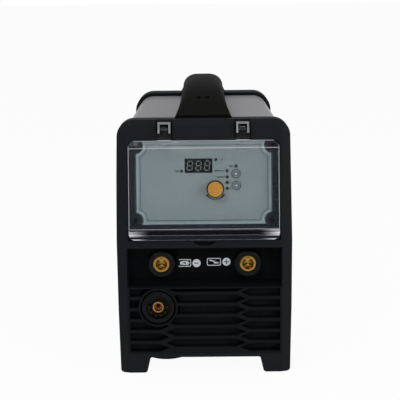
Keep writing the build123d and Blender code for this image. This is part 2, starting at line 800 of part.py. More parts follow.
# Two arms bonded under the cover's top edge; each turns on a pin in its bracket
foot_low_up = notch_low_up - 8
neck_up = hinge_up - arm_neck_length
leg_low = hinge_up - hinge_barrel_radius - bracket_leg + slip
with BuildPart() as hinge_arms:
    for x in hinge_places:
        with BuildSketch(raked_section.offset(x - arm_width / 2)):
            with BuildLine():
                Polyline(
                    (foot_low_up, cover_inner - 2.2),
                    (foot_low_up, cover_inner),
                    (notch_low_up + slip, cover_inner),
                    (notch_low_up + slip, cover_proud),
                    (hinge_up, hinge_out + hinge_barrel_radius - 0.9),
                    (hinge_up, hinge_out - hinge_barrel_radius + 0.9),
                    close=True,
                )
            make_face()
            with Locations((hinge_up, hinge_out)):
                Circle(hinge_barrel_radius)
                Circle(hinge_pin_radius + fit, mode=Mode.SUBTRACT)
        extrude(amount=arm_width)
        with BuildSketch(raked_plane.offset(-face_wall)):
            for side in (-1, 1):
                with Locations((x + side * (arm_neck + arm_width) / 2, neck_up + face_wall)):
                    Rectangle(arm_width, 2 * face_wall)
        extrude(amount=3 * face_wall, mode=Mode.SUBTRACT)
hinge_arms.part.label = "hinge_arms"
export_step(hinge_arms.part, "parts/hinge_arms.step")

bracket_top = hinge_up + bracket_rise
with BuildPart() as hinge_brackets:
    for x in hinge_places:
        with BuildSketch(raked_plane.offset(-pocket_depth)):
            with Locations((x, (leg_low + bracket_top) / 2)):
                Rectangle(bracket_width, bracket_top - leg_low)
            bracket_slot = bracket_top - bracket_web - leg_low
            with Locations((x, leg_low + bracket_slot / 2)):
                Rectangle(bracket_width - 2 * bracket_leg, bracket_slot, mode=Mode.SUBTRACT)
        extrude(amount=pocket_depth + hinge_out + 4)
        with BuildSketch(raked_section.offset(x - bracket_width)):
            with Locations((hinge_up, hinge_out)):
                Circle(hinge_pin_radius)
        extrude(amount=2 * bracket_width, mode=Mode.SUBTRACT)
hinge_brackets.part.label = "hinge_brackets"
export_step(hinge_brackets.part, "parts/hinge_brackets.step")

with BuildPart() as hinge_pins:
    for x in hinge_places:
        with BuildSketch(raked_section.offset(x - bracket_width / 2)):
            with Locations((hinge_up, hinge_out)):
                Circle(hinge_pin_radius)
        extrude(amount=bracket_width)
hinge_pins.part.label = "hinge_pins"
export_step(hinge_pins.part, "parts/hinge_pins.step")

# ------------------------------------------------------------------ socket panel and sockets
# Recessed moulding with the two current sockets; its floor slopes down towards the front
recess_back = recess_depth + 2.5
socket_boss = 1.5
socket_spigot_radius = 13.0
socket_places = [(-socket_spacing / 2, socket_height), (socket_spacing / 2, socket_height)]


def front_rods(places, radius, outer, inner):
    """Round pieces square to the upright face, between two depths behind it."""
    with BuildPart() as rods:
        with BuildSketch(front_plane.offset(-outer)):
            with Locations(*places):
                Circle(radius)
        extrude(amount=outer - inner)
    return rods.part


panel_foot = recess_low - 2.0
with BuildPart() as socket_panel:
    with BuildSketch(front_plane.offset(-recess_back)):
        with Locations((0, (panel_foot + recess_high + 1) / 2)):
            Rectangle(2 * (grille_half - slip / 2), recess_high + 1 - panel_foot)
    extrude(amount=recess_back)
    with BuildSketch(Plane.YZ.offset(-recess_half)):
        with BuildLine():
            Polyline(
                (front_face, recess_low),
                (front_face + recess_depth, recess_low + recess_slope),
                (front_face + recess_depth, recess_high),
                (front_face, recess_high),
                close=True,
            )
        make_face()
    extrude(amount=2 * recess_half, mode=Mode.SUBTRACT)
    with BuildSketch(front_plane.offset(-recess_depth)):
        with Locations(*socket_places):
            Circle(socket_flange_radius + 4)
            with Locations((0, (recess_high - socket_height) / 2)):
                Rectangle(2 * socket_flange_radius + 8, recess_high - socket_height)
    extrude(amount=socket_boss)
    add(front_rods(socket_places, socket_spigot_radius + slip, -1, recess_back + 1), mode=Mode.SUBTRACT)
socket_panel.part.label = "socket_panel"
export_step(socket_panel.part, "parts/socket_panel.step")

flange_back = recess_depth - socket_boss
flange_front = flange_back - 7.5
contact_front = flange_front + 1.5
contact_back = contact_front + 30
contact_floor = contact_back - 4
stud_radius = 4.0
nut_depth = 6.0
for name, place in (("negative_socket", socket_places[0]), ("positive_socket", socket_places[1])):
    with BuildPart() as body:
        add(front_rods([place], socket_flange_radius, flange_front, flange_back))
        chamfer(body.faces().sort_by(Axis.Y)[0].edges(), 2)
        add(front_rods([place], socket_spigot_radius, flange_back, recess_back + nut_depth + 2))
        add(front_rods([place], socket_contact_radius + fit, -1, 2 * bezel_depth), mode=Mode.SUBTRACT)
    body.part.label = name + "_body"
    export_step(body.part, f"parts/{name}_body.step")

    with BuildPart() as contact:
        add(front_rods([place], socket_contact_radius, contact_front, contact_back))
        add(front_rods([place], socket_bore_radius, contact_front - 1, contact_floor), mode=Mode.SUBTRACT)
        with BuildSketch(front_plane.offset(-contact_front)):
            with Locations((place[0], place[1] + socket_bore_radius)):
                Rectangle(3.4, 3.2)
        extrude(amount=contact_front - contact_floor, mode=Mode.SUBTRACT)
        add(front_rods([place], stud_radius, contact_back, contact_back + 16))
    contact.part.label = name + "_contact"
    export_step(contact.part, f"parts/{name}_contact.step")

with BuildPart() as socket_nuts:
    with BuildSketch(front_plane.offset(-recess_back - nut_depth)):
        with Locations(*socket_places):
            RegularPolygon(socket_spigot_radius + 4, 6)
            Circle(socket_spigot_radius + fit, mode=Mode.SUBTRACT)
    extrude(amount=nut_depth)
socket_nuts.part.label = "socket_nuts"
export_step(socket_nuts.part, "parts/socket_nuts.step")

# ------------------------------------------------------------------ front grille
# Slotted insert; the slots' pointed ends reach between each other in three columns
grille_high = panel_foot - slip / 2
grille_flange = 3.0
outer_column_end = field_half - 1.5
left_column_tip = -0.48 * outer_column_end
middle_column_left = -0.522 * outer_column_end
middle_column_right = 0.544 * outer_column_end
right_column_tip = 0.474 * outer_column_end


def slot_outline(left, right, left_tip, right_tip, up):
    """A long slot; either end may be square or pointed."""
    half = slot_height / 2
    points = [(left + left_tip, up + half)]
    points += [(left, up)] if left_tip else []
    points += [(left + left_tip, up - half), (right - right_tip, up - half)]
    points += [(right, up)] if right_tip else []
    points += [(right - right_tip, up + half)]
    return points


slots = []
for row in range(slot_rows):
    up = slot_top - row * slot_pitch
    slots.append(slot_outline(-outer_column_end, left_column_tip, 0, slot_tip, up))
    slots.append(slot_outline(right_column_tip, outer_column_end, slot_tip, 0, up))
for row in range(slot_rows - 1):
    up = slot_top - (row + 0.5) * slot_pitch - middle_drop
    slots.append(slot_outline(middle_column_left, middle_column_right, slot_tip, slot_tip, up))

torch_place = [(torch_x, torch_height)]
with BuildPart() as front_grille:
    with BuildSketch(front_plane.offset(-face_wall)):
        with Locations((0, (grille_low + slip / 2 + grille_high) / 2)):
            Rectangle(2 * (grille_half - slip / 2), grille_high - grille_low - slip / 2)
    extrude(amount=face_wall)
    with BuildSketch(front_plane.offset(-face_wall - grille_flange)):
        with Locations((0, (grille_low + grille_high) / 2 - 1)):
            Rectangle(2 * (grille_half + 3), grille_high - grille_low - 1)
    extrude(amount=grille_flange)
    with BuildSketch(front_plane):
        for points in slots:
            with BuildLine():
                Polyline(points, close=True)
            make_face()
        # the half slot along the top of the middle column
        half_slot_top = slot_top + slot_height / 2
        half_slot_low = slot_top + slot_pitch / 2 - middle_drop - slot_height / 2
        half_slot_tip = slot_tip * (1 - 2 * (half_slot_top - half_slot_low) / slot_height)
        with BuildLine():
            Polyline(
                (middle_column_left + half_slot_tip, half_slot_top),
                (middle_column_left + slot_tip, half_slot_low),
                (middle_column_right - slot_tip, half_slot_low),
                (middle_column_right - half_slot_tip, half_slot_top),
                close=True,
            )
        make_face()
    extrude(amount=-2 * face_wall, mode=Mode.SUBTRACT)
    add(front_rods(torch_place, torch_collar_radius, -1.5, face_wall + grille_flange))
    add(front_rods(torch_place, torch_hole_radius, -3, 2 * face_wall), mode=Mode.SUBTRACT)
front_grille.part.label = "front_grille"
export_step(front_grille.part, "parts/front_grille.step")

# Dust filter clipped behind the slots
filter_depth = face_wall + grille_flange
with BuildPart() as intake_filter:
    with BuildSketch(front_plane.offset(-filter_depth - 2)):
        with Locations((0, (grille_low + grille_high) / 2)):
            Rectangle(2 * outer_column_end, grille_high - grille_low - 6)
        with Locations(*torch_place):
            Circle(torch_collar_radius + 3, mode=Mode.SUBTRACT)
    extrude(amount=2)
intake_filter.part.label = "intake_filter"
export_step(intake_filter.part, "parts/intake_filter.step")

# ------------------------------------------------------------------ torch socket
torch_pin_circle = 10.7
torch_pin_places = [
    (torch_x + torch_pin_circle * cos(radians(a)), torch_height + torch_pin_circle * sin(radians(a)))
    for a in (-75, -40, 0, 180, 220, 255)
]
with BuildPart() as torch_socket_body:
    add(front_rods(torch_place, torch_body_radius, 0.5, filter_depth))
    add(front_rods(torch_place, torch_hole_radius + 1.5, filter_depth, filter_depth + 3))
    add(front_rods(torch_place, torch_dish_radius, filter_depth, filter_depth + 20))
    add(front_rods(torch_place, torch_dish_radius, -1, 6.5), mode=Mode.SUBTRACT)
    add(front_rods(torch_place, torch_contact_radius + 1.6, 3.5, filter_depth))
    add(front_rods(torch_place, torch_contact_radius + fit, -1, 2 * bezel_depth), mode=Mode.SUBTRACT)
    add(front_rods(torch_pin_places, 1.2 + fit, -1, filter_depth + 9), mode=Mode.SUBTRACT)
torch_socket_body.part.label = "torch_socket_body"
export_step(torch_socket_body.part, "parts/torch_socket_body.step")

torch_contact_front = 1.5
torch_bore_end = 9.0
torch_contact_back = 44.0
with BuildPart() as torch_socket_contact:
    add(front_rods(torch_place, torch_contact_radius, torch_contact_front, torch_contact_back))
    add(front_rods(torch_place, torch_bore_radius, 0, torch_bore_end), mode=Mode.SUBTRACT)
    add(front_rods(torch_place, torch_bore_radius - 1, 0, 2 * torch_bore_end), mode=Mode.SUBTRACT)
    add(front_rods(torch_place, torch_bore_radius - 3, 0, 2 * torch_contact_back), mode=Mode.SUBTRACT)
torch_socket_contact.part.label = "torch_socket_contact"
export_step(torch_socket_contact.part, "parts/torch_socket_contact.step")

with BuildPart() as torch_socket_insulator:
    add(front_rods(torch_place, torch_bore_radius - 1 - fit, torch_bore_end, 2 * torch_bore_end))
    add(front_rods(torch_place, torch_bore_radius - 3, 0, 3 * torch_bore_end), mode=Mode.SUBTRACT)
torch_socket_insulator.part.label = "torch_socket_insulator"
export_step(torch_socket_insulator.part, "parts/torch_socket_insulator.step")

with BuildPart() as torch_pins:
    add(front_rods(torch_pin_places, 1.2, 3, filter_depth + 8))
torch_pins.part.label = "torch_pins"
export_step(torch_pins.part, "parts/torch_pins.step")

# ------------------------------------------------------------------ rear panel, fan, switch and gland
rear_inner = face_wall + sheet
fan_place = [(0, fan_height)]
fan_bore = fan_size / 2 - 3
fan_screw_spacing = fan_size - 15


def rear_rods(places, radius, outer, inner):
    """Round pieces square to the rear face, between two depths in from it; X is as seen from behind."""
    with BuildPart() as rods:
        with BuildSketch(rear_plane.offset(-outer)):
            with Locations(*places):
                Circle(radius)
        extrude(amount=outer - inner)
    return rods.part


switch_width = 22.0
switch_tall = 30.0
gland_place = [(gland_x, gland_height)]
gland_thread = 10.0
with BuildPart() as rear_panel:
    with BuildSketch(rear_plane.offset(-rear_inner)):
        with Locations((0, (panel_low + panel_high) / 2)):
            RectangleRounded(2 * panel_half + 10, panel_high - panel_low + 10, window_radius)
        with Locations(*fan_place):
            Circle(fan_bore, mode=Mode.SUBTRACT)
            with GridLocations(fan_screw_spacing, fan_screw_spacing, 2, 2):
                Circle(2.2, mode=Mode.SUBTRACT)
        with Locations((switch_x, switch_height)):
            Rectangle(switch_width + slip, switch_tall + slip, mode=Mode.SUBTRACT)
        with Locations(*gland_place):
            Circle(gland_thread + fit, mode=Mode.SUBTRACT)
    extrude(amount=sheet)
rear_panel.part.label = "rear_panel"
export_step(rear_panel.part, "parts/rear_panel.step")

hub_motor_radius = 19.0
rotor_front = rear_inner + 6
with BuildPart() as fan_frame:
    with BuildSketch(rear_plane.offset(-rear_inner - fan_depth)):
        with Locations(*fan_place):
            RectangleRounded(fan_size, fan_size, 6)
            Circle(fan_bore, mode=Mode.SUBTRACT)
            with GridLocations(fan_screw_spacing, fan_screw_spacing, 2, 2):
                Circle(2.2, mode=Mode.SUBTRACT)
    extrude(amount=fan_depth)
    # motor seat on four spokes at the inner end
    with BuildSketch(rear_plane.offset(-rear_inner - fan_depth)):
        with Locations(*fan_place):
            Circle(hub_motor_radius)
            Rectangle(2 * fan_bore + 2, 6)
            Rectangle(6, 2 * fan_bore + 2)
    extrude(amount=4)
    add(rear_rods(fan_place, 3, rotor_front + 6, rear_inner + fan_depth))
fan_frame.part.label = "fan_frame"
export_step(fan_frame.part, "parts/fan_frame.step")

blade_count = 7
blade_depth = fan_depth - 14
with BuildPart() as fan_rotor:
    add(rear_rods(fan_place, hub_motor_radius, rotor_front, rotor_front + blade_depth))
    add(rear_rods(fan_place, 3 + fit, rotor_front + 3, rotor_front + 2 * blade_depth), mode=Mode.SUBTRACT)
    blade_reach = fan_bore - 2 - hub_motor_radius
    for blade in range(blade_count):
        turn = radians(blade * 360 / blade_count)
        blade_plane = Plane(
            origin=(0, rear_face - rotor_front - blade_depth / 2, fan_height),
            x_dir=(0, 1, 0),
            z_dir=(cos(turn), 0, sin(turn)),
        )
        with BuildSketch(blade_plane.offset(hub_motor_radius - 1)):
            Rectangle(blade_depth * 0.9, 2, rotation=35)
        extrude(amount=blade_reach)
fan_rotor.part.label = "fan_rotor"
export_step(fan_rotor.part, "parts/fan_rotor.step")

# Wire guard over the fan: rings welded to four spokes
wire = 1.2
with BuildPart() as fan_guard:
    for ring in range(1, 6):
        with BuildSketch(rear_plane.offset(wire - face_wall)):
            with Locations(*fan_place):
                Circle(ring * fan_bore / 5)
                Circle(ring * fan_bore / 5 - 2 * wire, mode=Mode.SUBTRACT)
        extrude(amount=2 * wire)
    with BuildSketch(rear_plane.offset(-face_wall)):
        with Locations(*fan_place):
            with Locations((0, 0, 0)):
                Rectangle(2 * wire, 2 * fan_bore - wire)
                Rectangle(2 * fan_bore - wire, 2 * wire)
            with GridLocations(fan_screw_spacing, fan_screw_spacing, 2, 2):
                Circle(4.5)
                Circle(2.3, mode=Mode.SUBTRACT)
    extrude(amount=2 * wire)
    # arms from the outer ring to the four screws
    arm_reach = fan_screw_spacing / 2**0.5
    with BuildSketch(rear_plane.offset(-face_wall)):
        for turn in (45, 135, 225, 315):
            with Locations(Location((0, fan_height, 0), turn)):
                with Locations(((arm_reach + fan_bore) / 2 - 3, 0)):
                    Rectangle(arm_reach - fan_bore, 2 * wire)
    extrude(amount=2 * wire)
fan_guard.part.label = "fan_guard"
export_step(fan_guard.part, "parts/fan_guard.step")

with BuildPart() as fan_screws:
    with BuildSketch(rear_plane.offset(2 * wire - face_wall)):
        with Locations(*fan_place):
            with GridLocations(fan_screw_spacing, fan_screw_spacing, 2, 2):
                Circle(3.6)
    extrude(amount=1.8)
    with BuildSketch(rear_plane.offset(2 * wire - face_wall)):
        with Locations(*fan_place):
            with GridLocations(fan_screw_spacing, fan_screw_spacing, 2, 2):
                Circle(2.0)
    extrude(amount=-2 * wire - sheet - fan_depth + 4)
fan_screws.part.label = "fan_screws"
export_step(fan_screws.part, "parts/fan_screws.step")

# Rocker switch in its snap-in frame; the rocker is a shallow V on a pin, tilted to off
rocker_gap = 0.5
rocker_half = switch_tall / 2 - 3.8
rocker_edge = 4.6  # ends of the rocker's face, out from the pin
rocker_width = switch_width - 5
rocker_tilt = 12.0
rocker_pin_radius = 1.5
switch_rim = 2.0
switch_deep = 26.0
pivot_depth = face_wall + 2.0
rocker_room = (rocker_half**2 + rocker_edge**2) ** 0.5 + slip
switch_place = [(switch_x, switch_height)]
with BuildPart() as power_switch_frame:
    with BuildSketch(rear_plane.offset(-face_wall)):
        with Locations(*switch_place):
            RectangleRounded(switch_width + 5, switch_tall + 5, 2)
    extrude(amount=switch_rim)
    with BuildSketch(rear_plane.offset(-face_wall)):
        with Locations(*switch_place):
            Rectangle(switch_width, switch_tall)
    extrude(amount=-switch_deep)
    with BuildSketch(rear_plane.offset(switch_rim - face_wall)):
        with Locations(*switch_place):
            Rectangle(rocker_width + 2 * rocker_gap, 2 * rocker_room)
    extrude(amount=-switch_deep / 2, mode=Mode.SUBTRACT)
power_switch_frame.part.label = "power_switch_frame"
export_step(power_switch_frame.part, "parts/power_switch_frame.step")

lean = radians(rocker_tilt)
rocker_plane = Plane(
    origin=(-switch_x - rocker_width / 2, rear_face - pivot_depth, switch_height),
    x_dir=(0, cos(lean), -sin(lean)),
    z_dir=(1, 0, 0),
)
with BuildPart() as power_switch_rocker:
    with BuildSketch(rocker_plane):
        with BuildLine():
            Polyline(
                (rocker_edge - 2.6, 0),
                (rocker_edge, rocker_half),
                (-2.5, rocker_half - 1),
                (-4.5, 0),
                (-2.5, 1 - rocker_half),
                (rocker_edge, -rocker_half),
                close=True,
            )
        make_face()
        Circle(rocker_pin_radius + fit, mode=Mode.SUBTRACT)
    extrude(amount=rocker_width)
power_switch_rocker.part.label = "power_switch_rocker"
export_step(power_switch_rocker.part, "parts/power_switch_rocker.step")

with BuildPart() as power_switch_pin:
    with BuildSketch(rocker_plane.offset(-rocker_gap)):
        Circle(rocker_pin_radius)
    extrude(amount=rocker_width + 2 * rocker_gap)
power_switch_pin.part.label = "power_switch_pin"
export_step(power_switch_pin.part, "parts/power_switch_pin.step")

# Mains cable gland: hexagonal body through the panel, a domed clamping cap and an inner lock nut
gland_hex = gland_thread + 4
gland_hex_depth = 6.0
cap_wall = 2.5
cap_back = face_wall - gland_hex_depth - slip  # depth of the cap's inner end
cap_front = face_wall - gland_length
with BuildPart() as mains_gland:
    with BuildSketch(rear_plane.offset(-face_wall)):
        with Locations(*gland_place):
            RegularPolygon(gland_hex, 6)
    extrude(amount=gland_hex_depth)
    add(rear_rods(gland_place, gland_thread, cap_front + 8, face_wall + 12))
    add(rear_rods(gland_place, gland_bore_radius + 1.5, cap_front - 1, face_wall + 13), mode=Mode.SUBTRACT)
mains_gland.part.label = "mains_gland"
export_step(mains_gland.part, "parts/mains_gland.step")

with BuildPart() as gland_cap:
    add(rear_rods(gland_place, gland_thread + cap_wall, cap_front, cap_back))
    fillet(gland_cap.faces().sort_by(Axis.Y)[-1].edges(), 5)
    add(rear_rods(gland_place, gland_thread + fit, cap_front + 8, face_wall), mode=Mode.SUBTRACT)
    add(rear_rods(gland_place, gland_bore_radius, cap_front - 1, face_wall), mode=Mode.SUBTRACT)
gland_cap.part.label = "gland_cap"
export_step(gland_cap.part, "parts/gland_cap.step")

with BuildPart() as gland_nut:
    with BuildSketch(rear_plane.offset(-rear_inner - 4)):
        with Locations(*gland_place):
            RegularPolygon(gland_hex, 6)
            Circle(gland_thread + fit, mode=Mode.SUBTRACT)
    extrude(amount=4)
gland_nut.part.label = "gland_nut"
export_step(gland_nut.part, "parts/gland_nut.step")

# ------------------------------------------------------------------ inverter on the shelf
board_z = shelf_height + 8
main_board_y = (shelf_front + shelf_rear) / 2
main_board_length = shelf_rear - shelf_front - 30
main_board_half = tray_half - 16
with BuildPart() as main_board:
    with BuildSketch(Plane.XY.offset(board_z)):
        with Locations((0, main_board_y)):
            Rectangle(2 * main_board_half, main_board_length)
    extrude(amount=board_thickness)
    with BuildSketch(Plane.XY.offset(shelf_height)):
        with Locations((0, main_board_y)):
            with GridLocations(2 * main_board_half - 12, main_board_length - 12, 2, 2):
                Circle(3)
    extrude(amount=board_z - shelf_height)
main_board.part.label = "main_board"
export_step(main_board.part, "parts/main_board.step")

board_face = board_z + board_thickness
sink_length = 110.0
sink_height = 52.0
fin_count = 9
fin_pitch = 6.0
fin = 2.0
sink_base = 5.0
sink_inset = 32.0  # in from the board's long edges
sink_back = 25.0  # behind the board's middle
with BuildPart() as heat_sinks:
    for side in (-1, 1):
        with BuildSketch(Plane.XZ.offset(-(main_board_y + sink_back))):
            with Locations((side * (main_board_half - sink_inset), board_face + sink_height / 2)):
                Rectangle(fin_pitch * (fin_count - 1) + fin, sink_base)
                with GridLocations(fin_pitch, 1, fin_count, 1):
                    Rectangle(fin, sink_height)
        extrude(amount=sink_length / 2, both=True)
heat_sinks.part.label = "heat_sinks"
export_step(heat_sinks.part, "parts/heat_sinks.step")

core_front = 75.0  # before the board's middle
core_y = main_board_y - core_front
core_x = -main_board_half / 2
core_width = 60.0
core_height = 44.0
core_leg = 13.0
core_length = 28.0
core_window = (core_width - 3 * core_leg) / 2
winding_gap = 0.5
with BuildPart() as main_transformer:
    with BuildSketch(Plane.XZ.offset(-core_y)):
        with Locations((core_x, board_face + core_height / 2)):
            Rectangle(core_width, core_height)
            with GridLocations(core_leg + core_window, 1, 2, 1):
                Rectangle(core_window, core_height - core_leg, mode=Mode.SUBTRACT)
    extrude(amount=core_length / 2, both=True)
    # winding round the middle leg
    with BuildSketch(Plane.XY.offset(board_face + core_leg / 2 + winding_gap)):
        with Locations((core_x, core_y)):
            RectangleRounded(core_leg + 2 * core_window - 1, core_length + 2 * core_window - 1, 4)
            Rectangle(core_leg + 2 * winding_gap, core_length + 2 * winding_gap, mode=Mode.SUBTRACT)
    extrude(amount=core_height - core_leg - 2 * winding_gap)
main_transformer.part.label = "main_transformer"
export_step(main_transformer.part, "parts/main_transformer.step")

choke_radius = 21.0
choke_winding = 9.0
with BuildPart() as output_choke:
    with Locations((-core_x, core_y, board_face + choke_winding)):
        Torus(choke_radius, choke_winding)
    with BuildSketch(Plane.XY.offset(board_face)):
        with Locations((-core_x, core_y)):
            Circle(choke_radius + 4)
            Circle(choke_radius - 4, mode=Mode.SUBTRACT)
    extrude(amount=choke_winding)
output_choke.part.label = "output_choke"
export_step(output_choke.part, "parts/output_choke.step")

can_radius = 15.0
can_height = 46.0
can_back = 115.0  # behind the board's middle
with BuildPart() as bus_capacitors:
    with BuildSketch(Plane.XY.offset(board_face)):
        with Locations((0, main_board_y + can_back)):
            with GridLocations(2 * can_radius + 6, 1, 4, 1):
                Circle(can_radius)
    extrude(amount=can_height)
    fillet(bus_capacitors.faces().filter_by(Plane.XY).group_by(Axis.Z)[-1].edges(), 1.5)
bus_capacitors.part.label = "bus_capacitors"
export_step(bus_capacitors.part, "parts/bus_capacitors.step")

# ------------------------------------------------------------------ air compressor under the shelf
tray_top = body_floor + sheet
bush_height = 12.0
bush_radius = 8.0
base_half = 44.0
base_front = -70.0
base_rear = 92.0
base_thickness = 2.5
base_z = tray_top + bush_height
motor_radius = 36.0
motor_z = base_z + base_thickness + motor_radius + 8
motor_front = -14.0
motor_rear = 70.0
shaft_radius = 4.0
shaft_end = motor_rear + 18
cooling_fan_front = motor_rear + 4
cooling_fan_depth = 11.0
bush_places = [(x, y) for x in (12 - base_half, base_half - 12) for y in (base_front + 12, base_rear - 12)]


def long_rod(radius, start, end):
    """A round piece along the motor's axis, between two places along Y."""
    with BuildPart() as rod:
        with BuildSketch(Plane.XZ.offset(-end)):
            with Locations((0, motor_z)):
                Circle(radius)
        extrude(amount=end - start)
    return rod.part


with BuildPart() as compressor_mounts:
    with BuildSketch(Plane.XY.offset(tray_top)):
        with Locations(*bush_places):
            Circle(bush_radius)
    extrude(amount=bush_height)
compressor_mounts.part.label = "compressor_mounts"
export_step(compressor_mounts.part, "parts/compressor_mounts.step")

with BuildPart() as compressor_motor:
    with BuildSketch(Plane.XY.offset(base_z)):
        with Locations((0, (base_front + base_rear) / 2)):
            RectangleRounded(2 * base_half, base_rear - base_front, 6)
    extrude(amount=base_thickness)
    add(long_rod(motor_radius, motor_front, motor_rear))
    add(long_rod(motor_radius * 0.6, motor_front - 6, motor_rear))
    # cradle under the motor
    with BuildSketch(Plane.XZ.offset(-motor_rear + 10)):
        with Locations((0, base_z + motor_radius / 2 + 2)):
            Rectangle(1.2 * motor_radius, motor_radius + 4)
    extrude(amount=motor_rear - motor_front - 20)
    add(long_rod(shaft_radius, motor_rear, shaft_end))
compressor_motor.part.label = "compressor_motor"
export_step(compressor_motor.part, "parts/compressor_motor.step")

with BuildPart() as compressor_fan:
    add(long_rod(3 * shaft_radius, cooling_fan_front, cooling_fan_front + cooling_fan_depth))
    add(long_rod(shaft_radius + fit, motor_rear, 2 * shaft_end), mode=Mode.SUBTRACT)
    for blade in range(5):
        turn = radians(blade * 72 + 18)
        blade_plane = Plane(
            origin=(0, cooling_fan_front + cooling_fan_depth / 2, motor_z),
            x_dir=(0, 1, 0),
            z_dir=(cos(turn), 0, sin(turn)),
        )
        with BuildSketch(blade_plane.offset(3 * shaft_radius - 1)):
            Rectangle(cooling_fan_depth * 0.9, 1.6, rotation=40)
        extrude(amount=motor_radius - 3 * shaft_radius)
compressor_fan.part.label = "compressor_fan"
export_step(compressor_fan.part, "parts/compressor_fan.step")

pump_front = motor_front - 50
pump_y = (pump_front + motor_front - 6) / 2
pump_half = 24.0
cylinder_low = motor_z + pump_half
head_low = shelf_height - 22
with BuildPart() as compressor_pump:
    with BuildSketch(Plane.XZ.offset(-motor_front + 6)):
        with Locations((0, motor_z)):
            RectangleRounded(2 * pump_half, 2 * pump_half, 8)
    extrude(amount=motor_front - 6 - pump_front)
    with BuildSketch(Plane.XY.offset(motor_z)):
        with Locations((0, pump_y)):
            Circle(pump_half - 6)
    extrude(amount=head_low - motor_z)
    with BuildSketch(Plane.XY.offset(head_low)):
        with Locations((0, pump_y)):
            RectangleRounded(2 * pump_half - 4, 2 * pump_half - 8, 4)
    extrude(amount=10)
    # cooling fins round the cylinder
    for level in range(3):
        with BuildSketch(Plane.XY.offset(cylinder_low + 2 + level * 5)):
            with Locations((0, pump_y)):
                Circle(pump_half - 2)
        extrude(amount=2)
    # foot under the crankcase
    with BuildSketch(Plane.XY.offset(base_z + base_thickness)):
        with Locations((0, pump_y)):
            Rectangle(pump_half, pump_half)
    extrude(amount=motor_z - base_z - base_thickness - pump_half + 1)
compressor_pump.part.label = "compressor_pump"
export_step(compressor_pump.part, "parts/compressor_pump.step")

# Air hose from the pump's head round to the torch socket
hose_radius = 4.5
hose_z = head_low + 5
hose_turn_y = (front_face + torch_contact_back + pump_front) / 2
with BuildPart() as air_hose:
    with BuildLine() as hose_path:
        FilletPolyline(
            (0, pump_y - pump_half + 4, hose_z),
            (0, hose_turn_y, hose_z),
            (torch_x, hose_turn_y, hose_z),
            (torch_x, hose_turn_y, torch_height),
            (torch_x, front_face + torch_contact_back, torch_height),
            radius=14,
        )
    with BuildSketch(Plane(origin=hose_path.line @ 0, z_dir=hose_path.line % 0)):
        Circle(hose_radius)
    sweep()
air_hose.part.label = "air_hose"
export_step(air_hose.part, "parts/air_hose.step")
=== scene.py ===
# Inverter plasma cutter unit with its own compressor: the looks of each piece, in the order the unit
# goes together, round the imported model. Metres; X across the front, Y to the rear, Z up.
from math import cos, pi, radians, sin

import bpy
from mathutils import Matrix, Vector


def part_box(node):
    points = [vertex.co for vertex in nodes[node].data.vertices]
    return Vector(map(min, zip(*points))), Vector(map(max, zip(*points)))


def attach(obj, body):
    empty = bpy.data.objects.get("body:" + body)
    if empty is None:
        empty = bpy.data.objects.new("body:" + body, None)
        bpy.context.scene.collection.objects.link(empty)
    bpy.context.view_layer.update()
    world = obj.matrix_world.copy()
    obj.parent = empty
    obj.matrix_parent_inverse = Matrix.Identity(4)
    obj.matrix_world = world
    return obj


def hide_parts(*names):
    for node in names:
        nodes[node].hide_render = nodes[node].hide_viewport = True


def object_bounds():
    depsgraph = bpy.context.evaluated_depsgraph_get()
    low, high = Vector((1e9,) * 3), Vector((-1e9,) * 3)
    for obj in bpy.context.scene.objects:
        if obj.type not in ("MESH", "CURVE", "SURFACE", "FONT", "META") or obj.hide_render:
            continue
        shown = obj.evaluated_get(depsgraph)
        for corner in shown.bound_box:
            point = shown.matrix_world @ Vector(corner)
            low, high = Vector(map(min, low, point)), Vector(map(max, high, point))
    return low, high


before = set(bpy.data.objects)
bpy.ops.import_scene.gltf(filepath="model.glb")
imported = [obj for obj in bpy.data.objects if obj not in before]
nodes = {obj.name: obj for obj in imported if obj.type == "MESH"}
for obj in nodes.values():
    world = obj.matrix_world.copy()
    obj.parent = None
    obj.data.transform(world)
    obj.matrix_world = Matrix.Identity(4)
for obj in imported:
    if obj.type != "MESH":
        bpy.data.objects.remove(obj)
cad_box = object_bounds()
mm = 0.001

# ---------------------------------------------------------------- front bezel
# One piece moulding of glass filled ABS that frames the clear cover, the sockets and the intake,
# with its two feet. Its outer corners are rounded by the mould and its skin is spark grained.


def deselect():
    """Leaves nothing selected."""
    bpy.ops.object.select_all(action="DESELECT")


def take_up(piece):
    """Makes a piece the only selected and active one."""
    deselect()
    piece.select_set(True)
    bpy.context.view_layer.objects.active = piece


def work_on(piece, *steps):
    """Runs edit mode steps over the whole of a piece."""
    take_up(piece)
    bpy.ops.object.mode_set(mode="EDIT")
    bpy.ops.mesh.select_all(action="SELECT")
    for step in steps:
        step()
    bpy.ops.object.mode_set(mode="OBJECT")


def smooth(piece, angle):
    """Smooth shading, apart from edges sharper than the angle."""
    take_up(piece)
    bpy.ops.object.shade_smooth_by_angle(angle=radians(angle))


def edge_table(mesh):
    """Each edge's middle and the normals of the two faces it joins."""
    beside = {}
    for face in mesh.polygons:
        for key in face.edge_keys:
            beside.setdefault(key, []).append(face.normal.copy())
    table = []
    for edge in mesh.edges:
        a, b = (mesh.vertices[i].co for i in edge.vertices)
        table.append(((a + b) / 2, beside.get(tuple(sorted(edge.vertices)), [])))
    return table


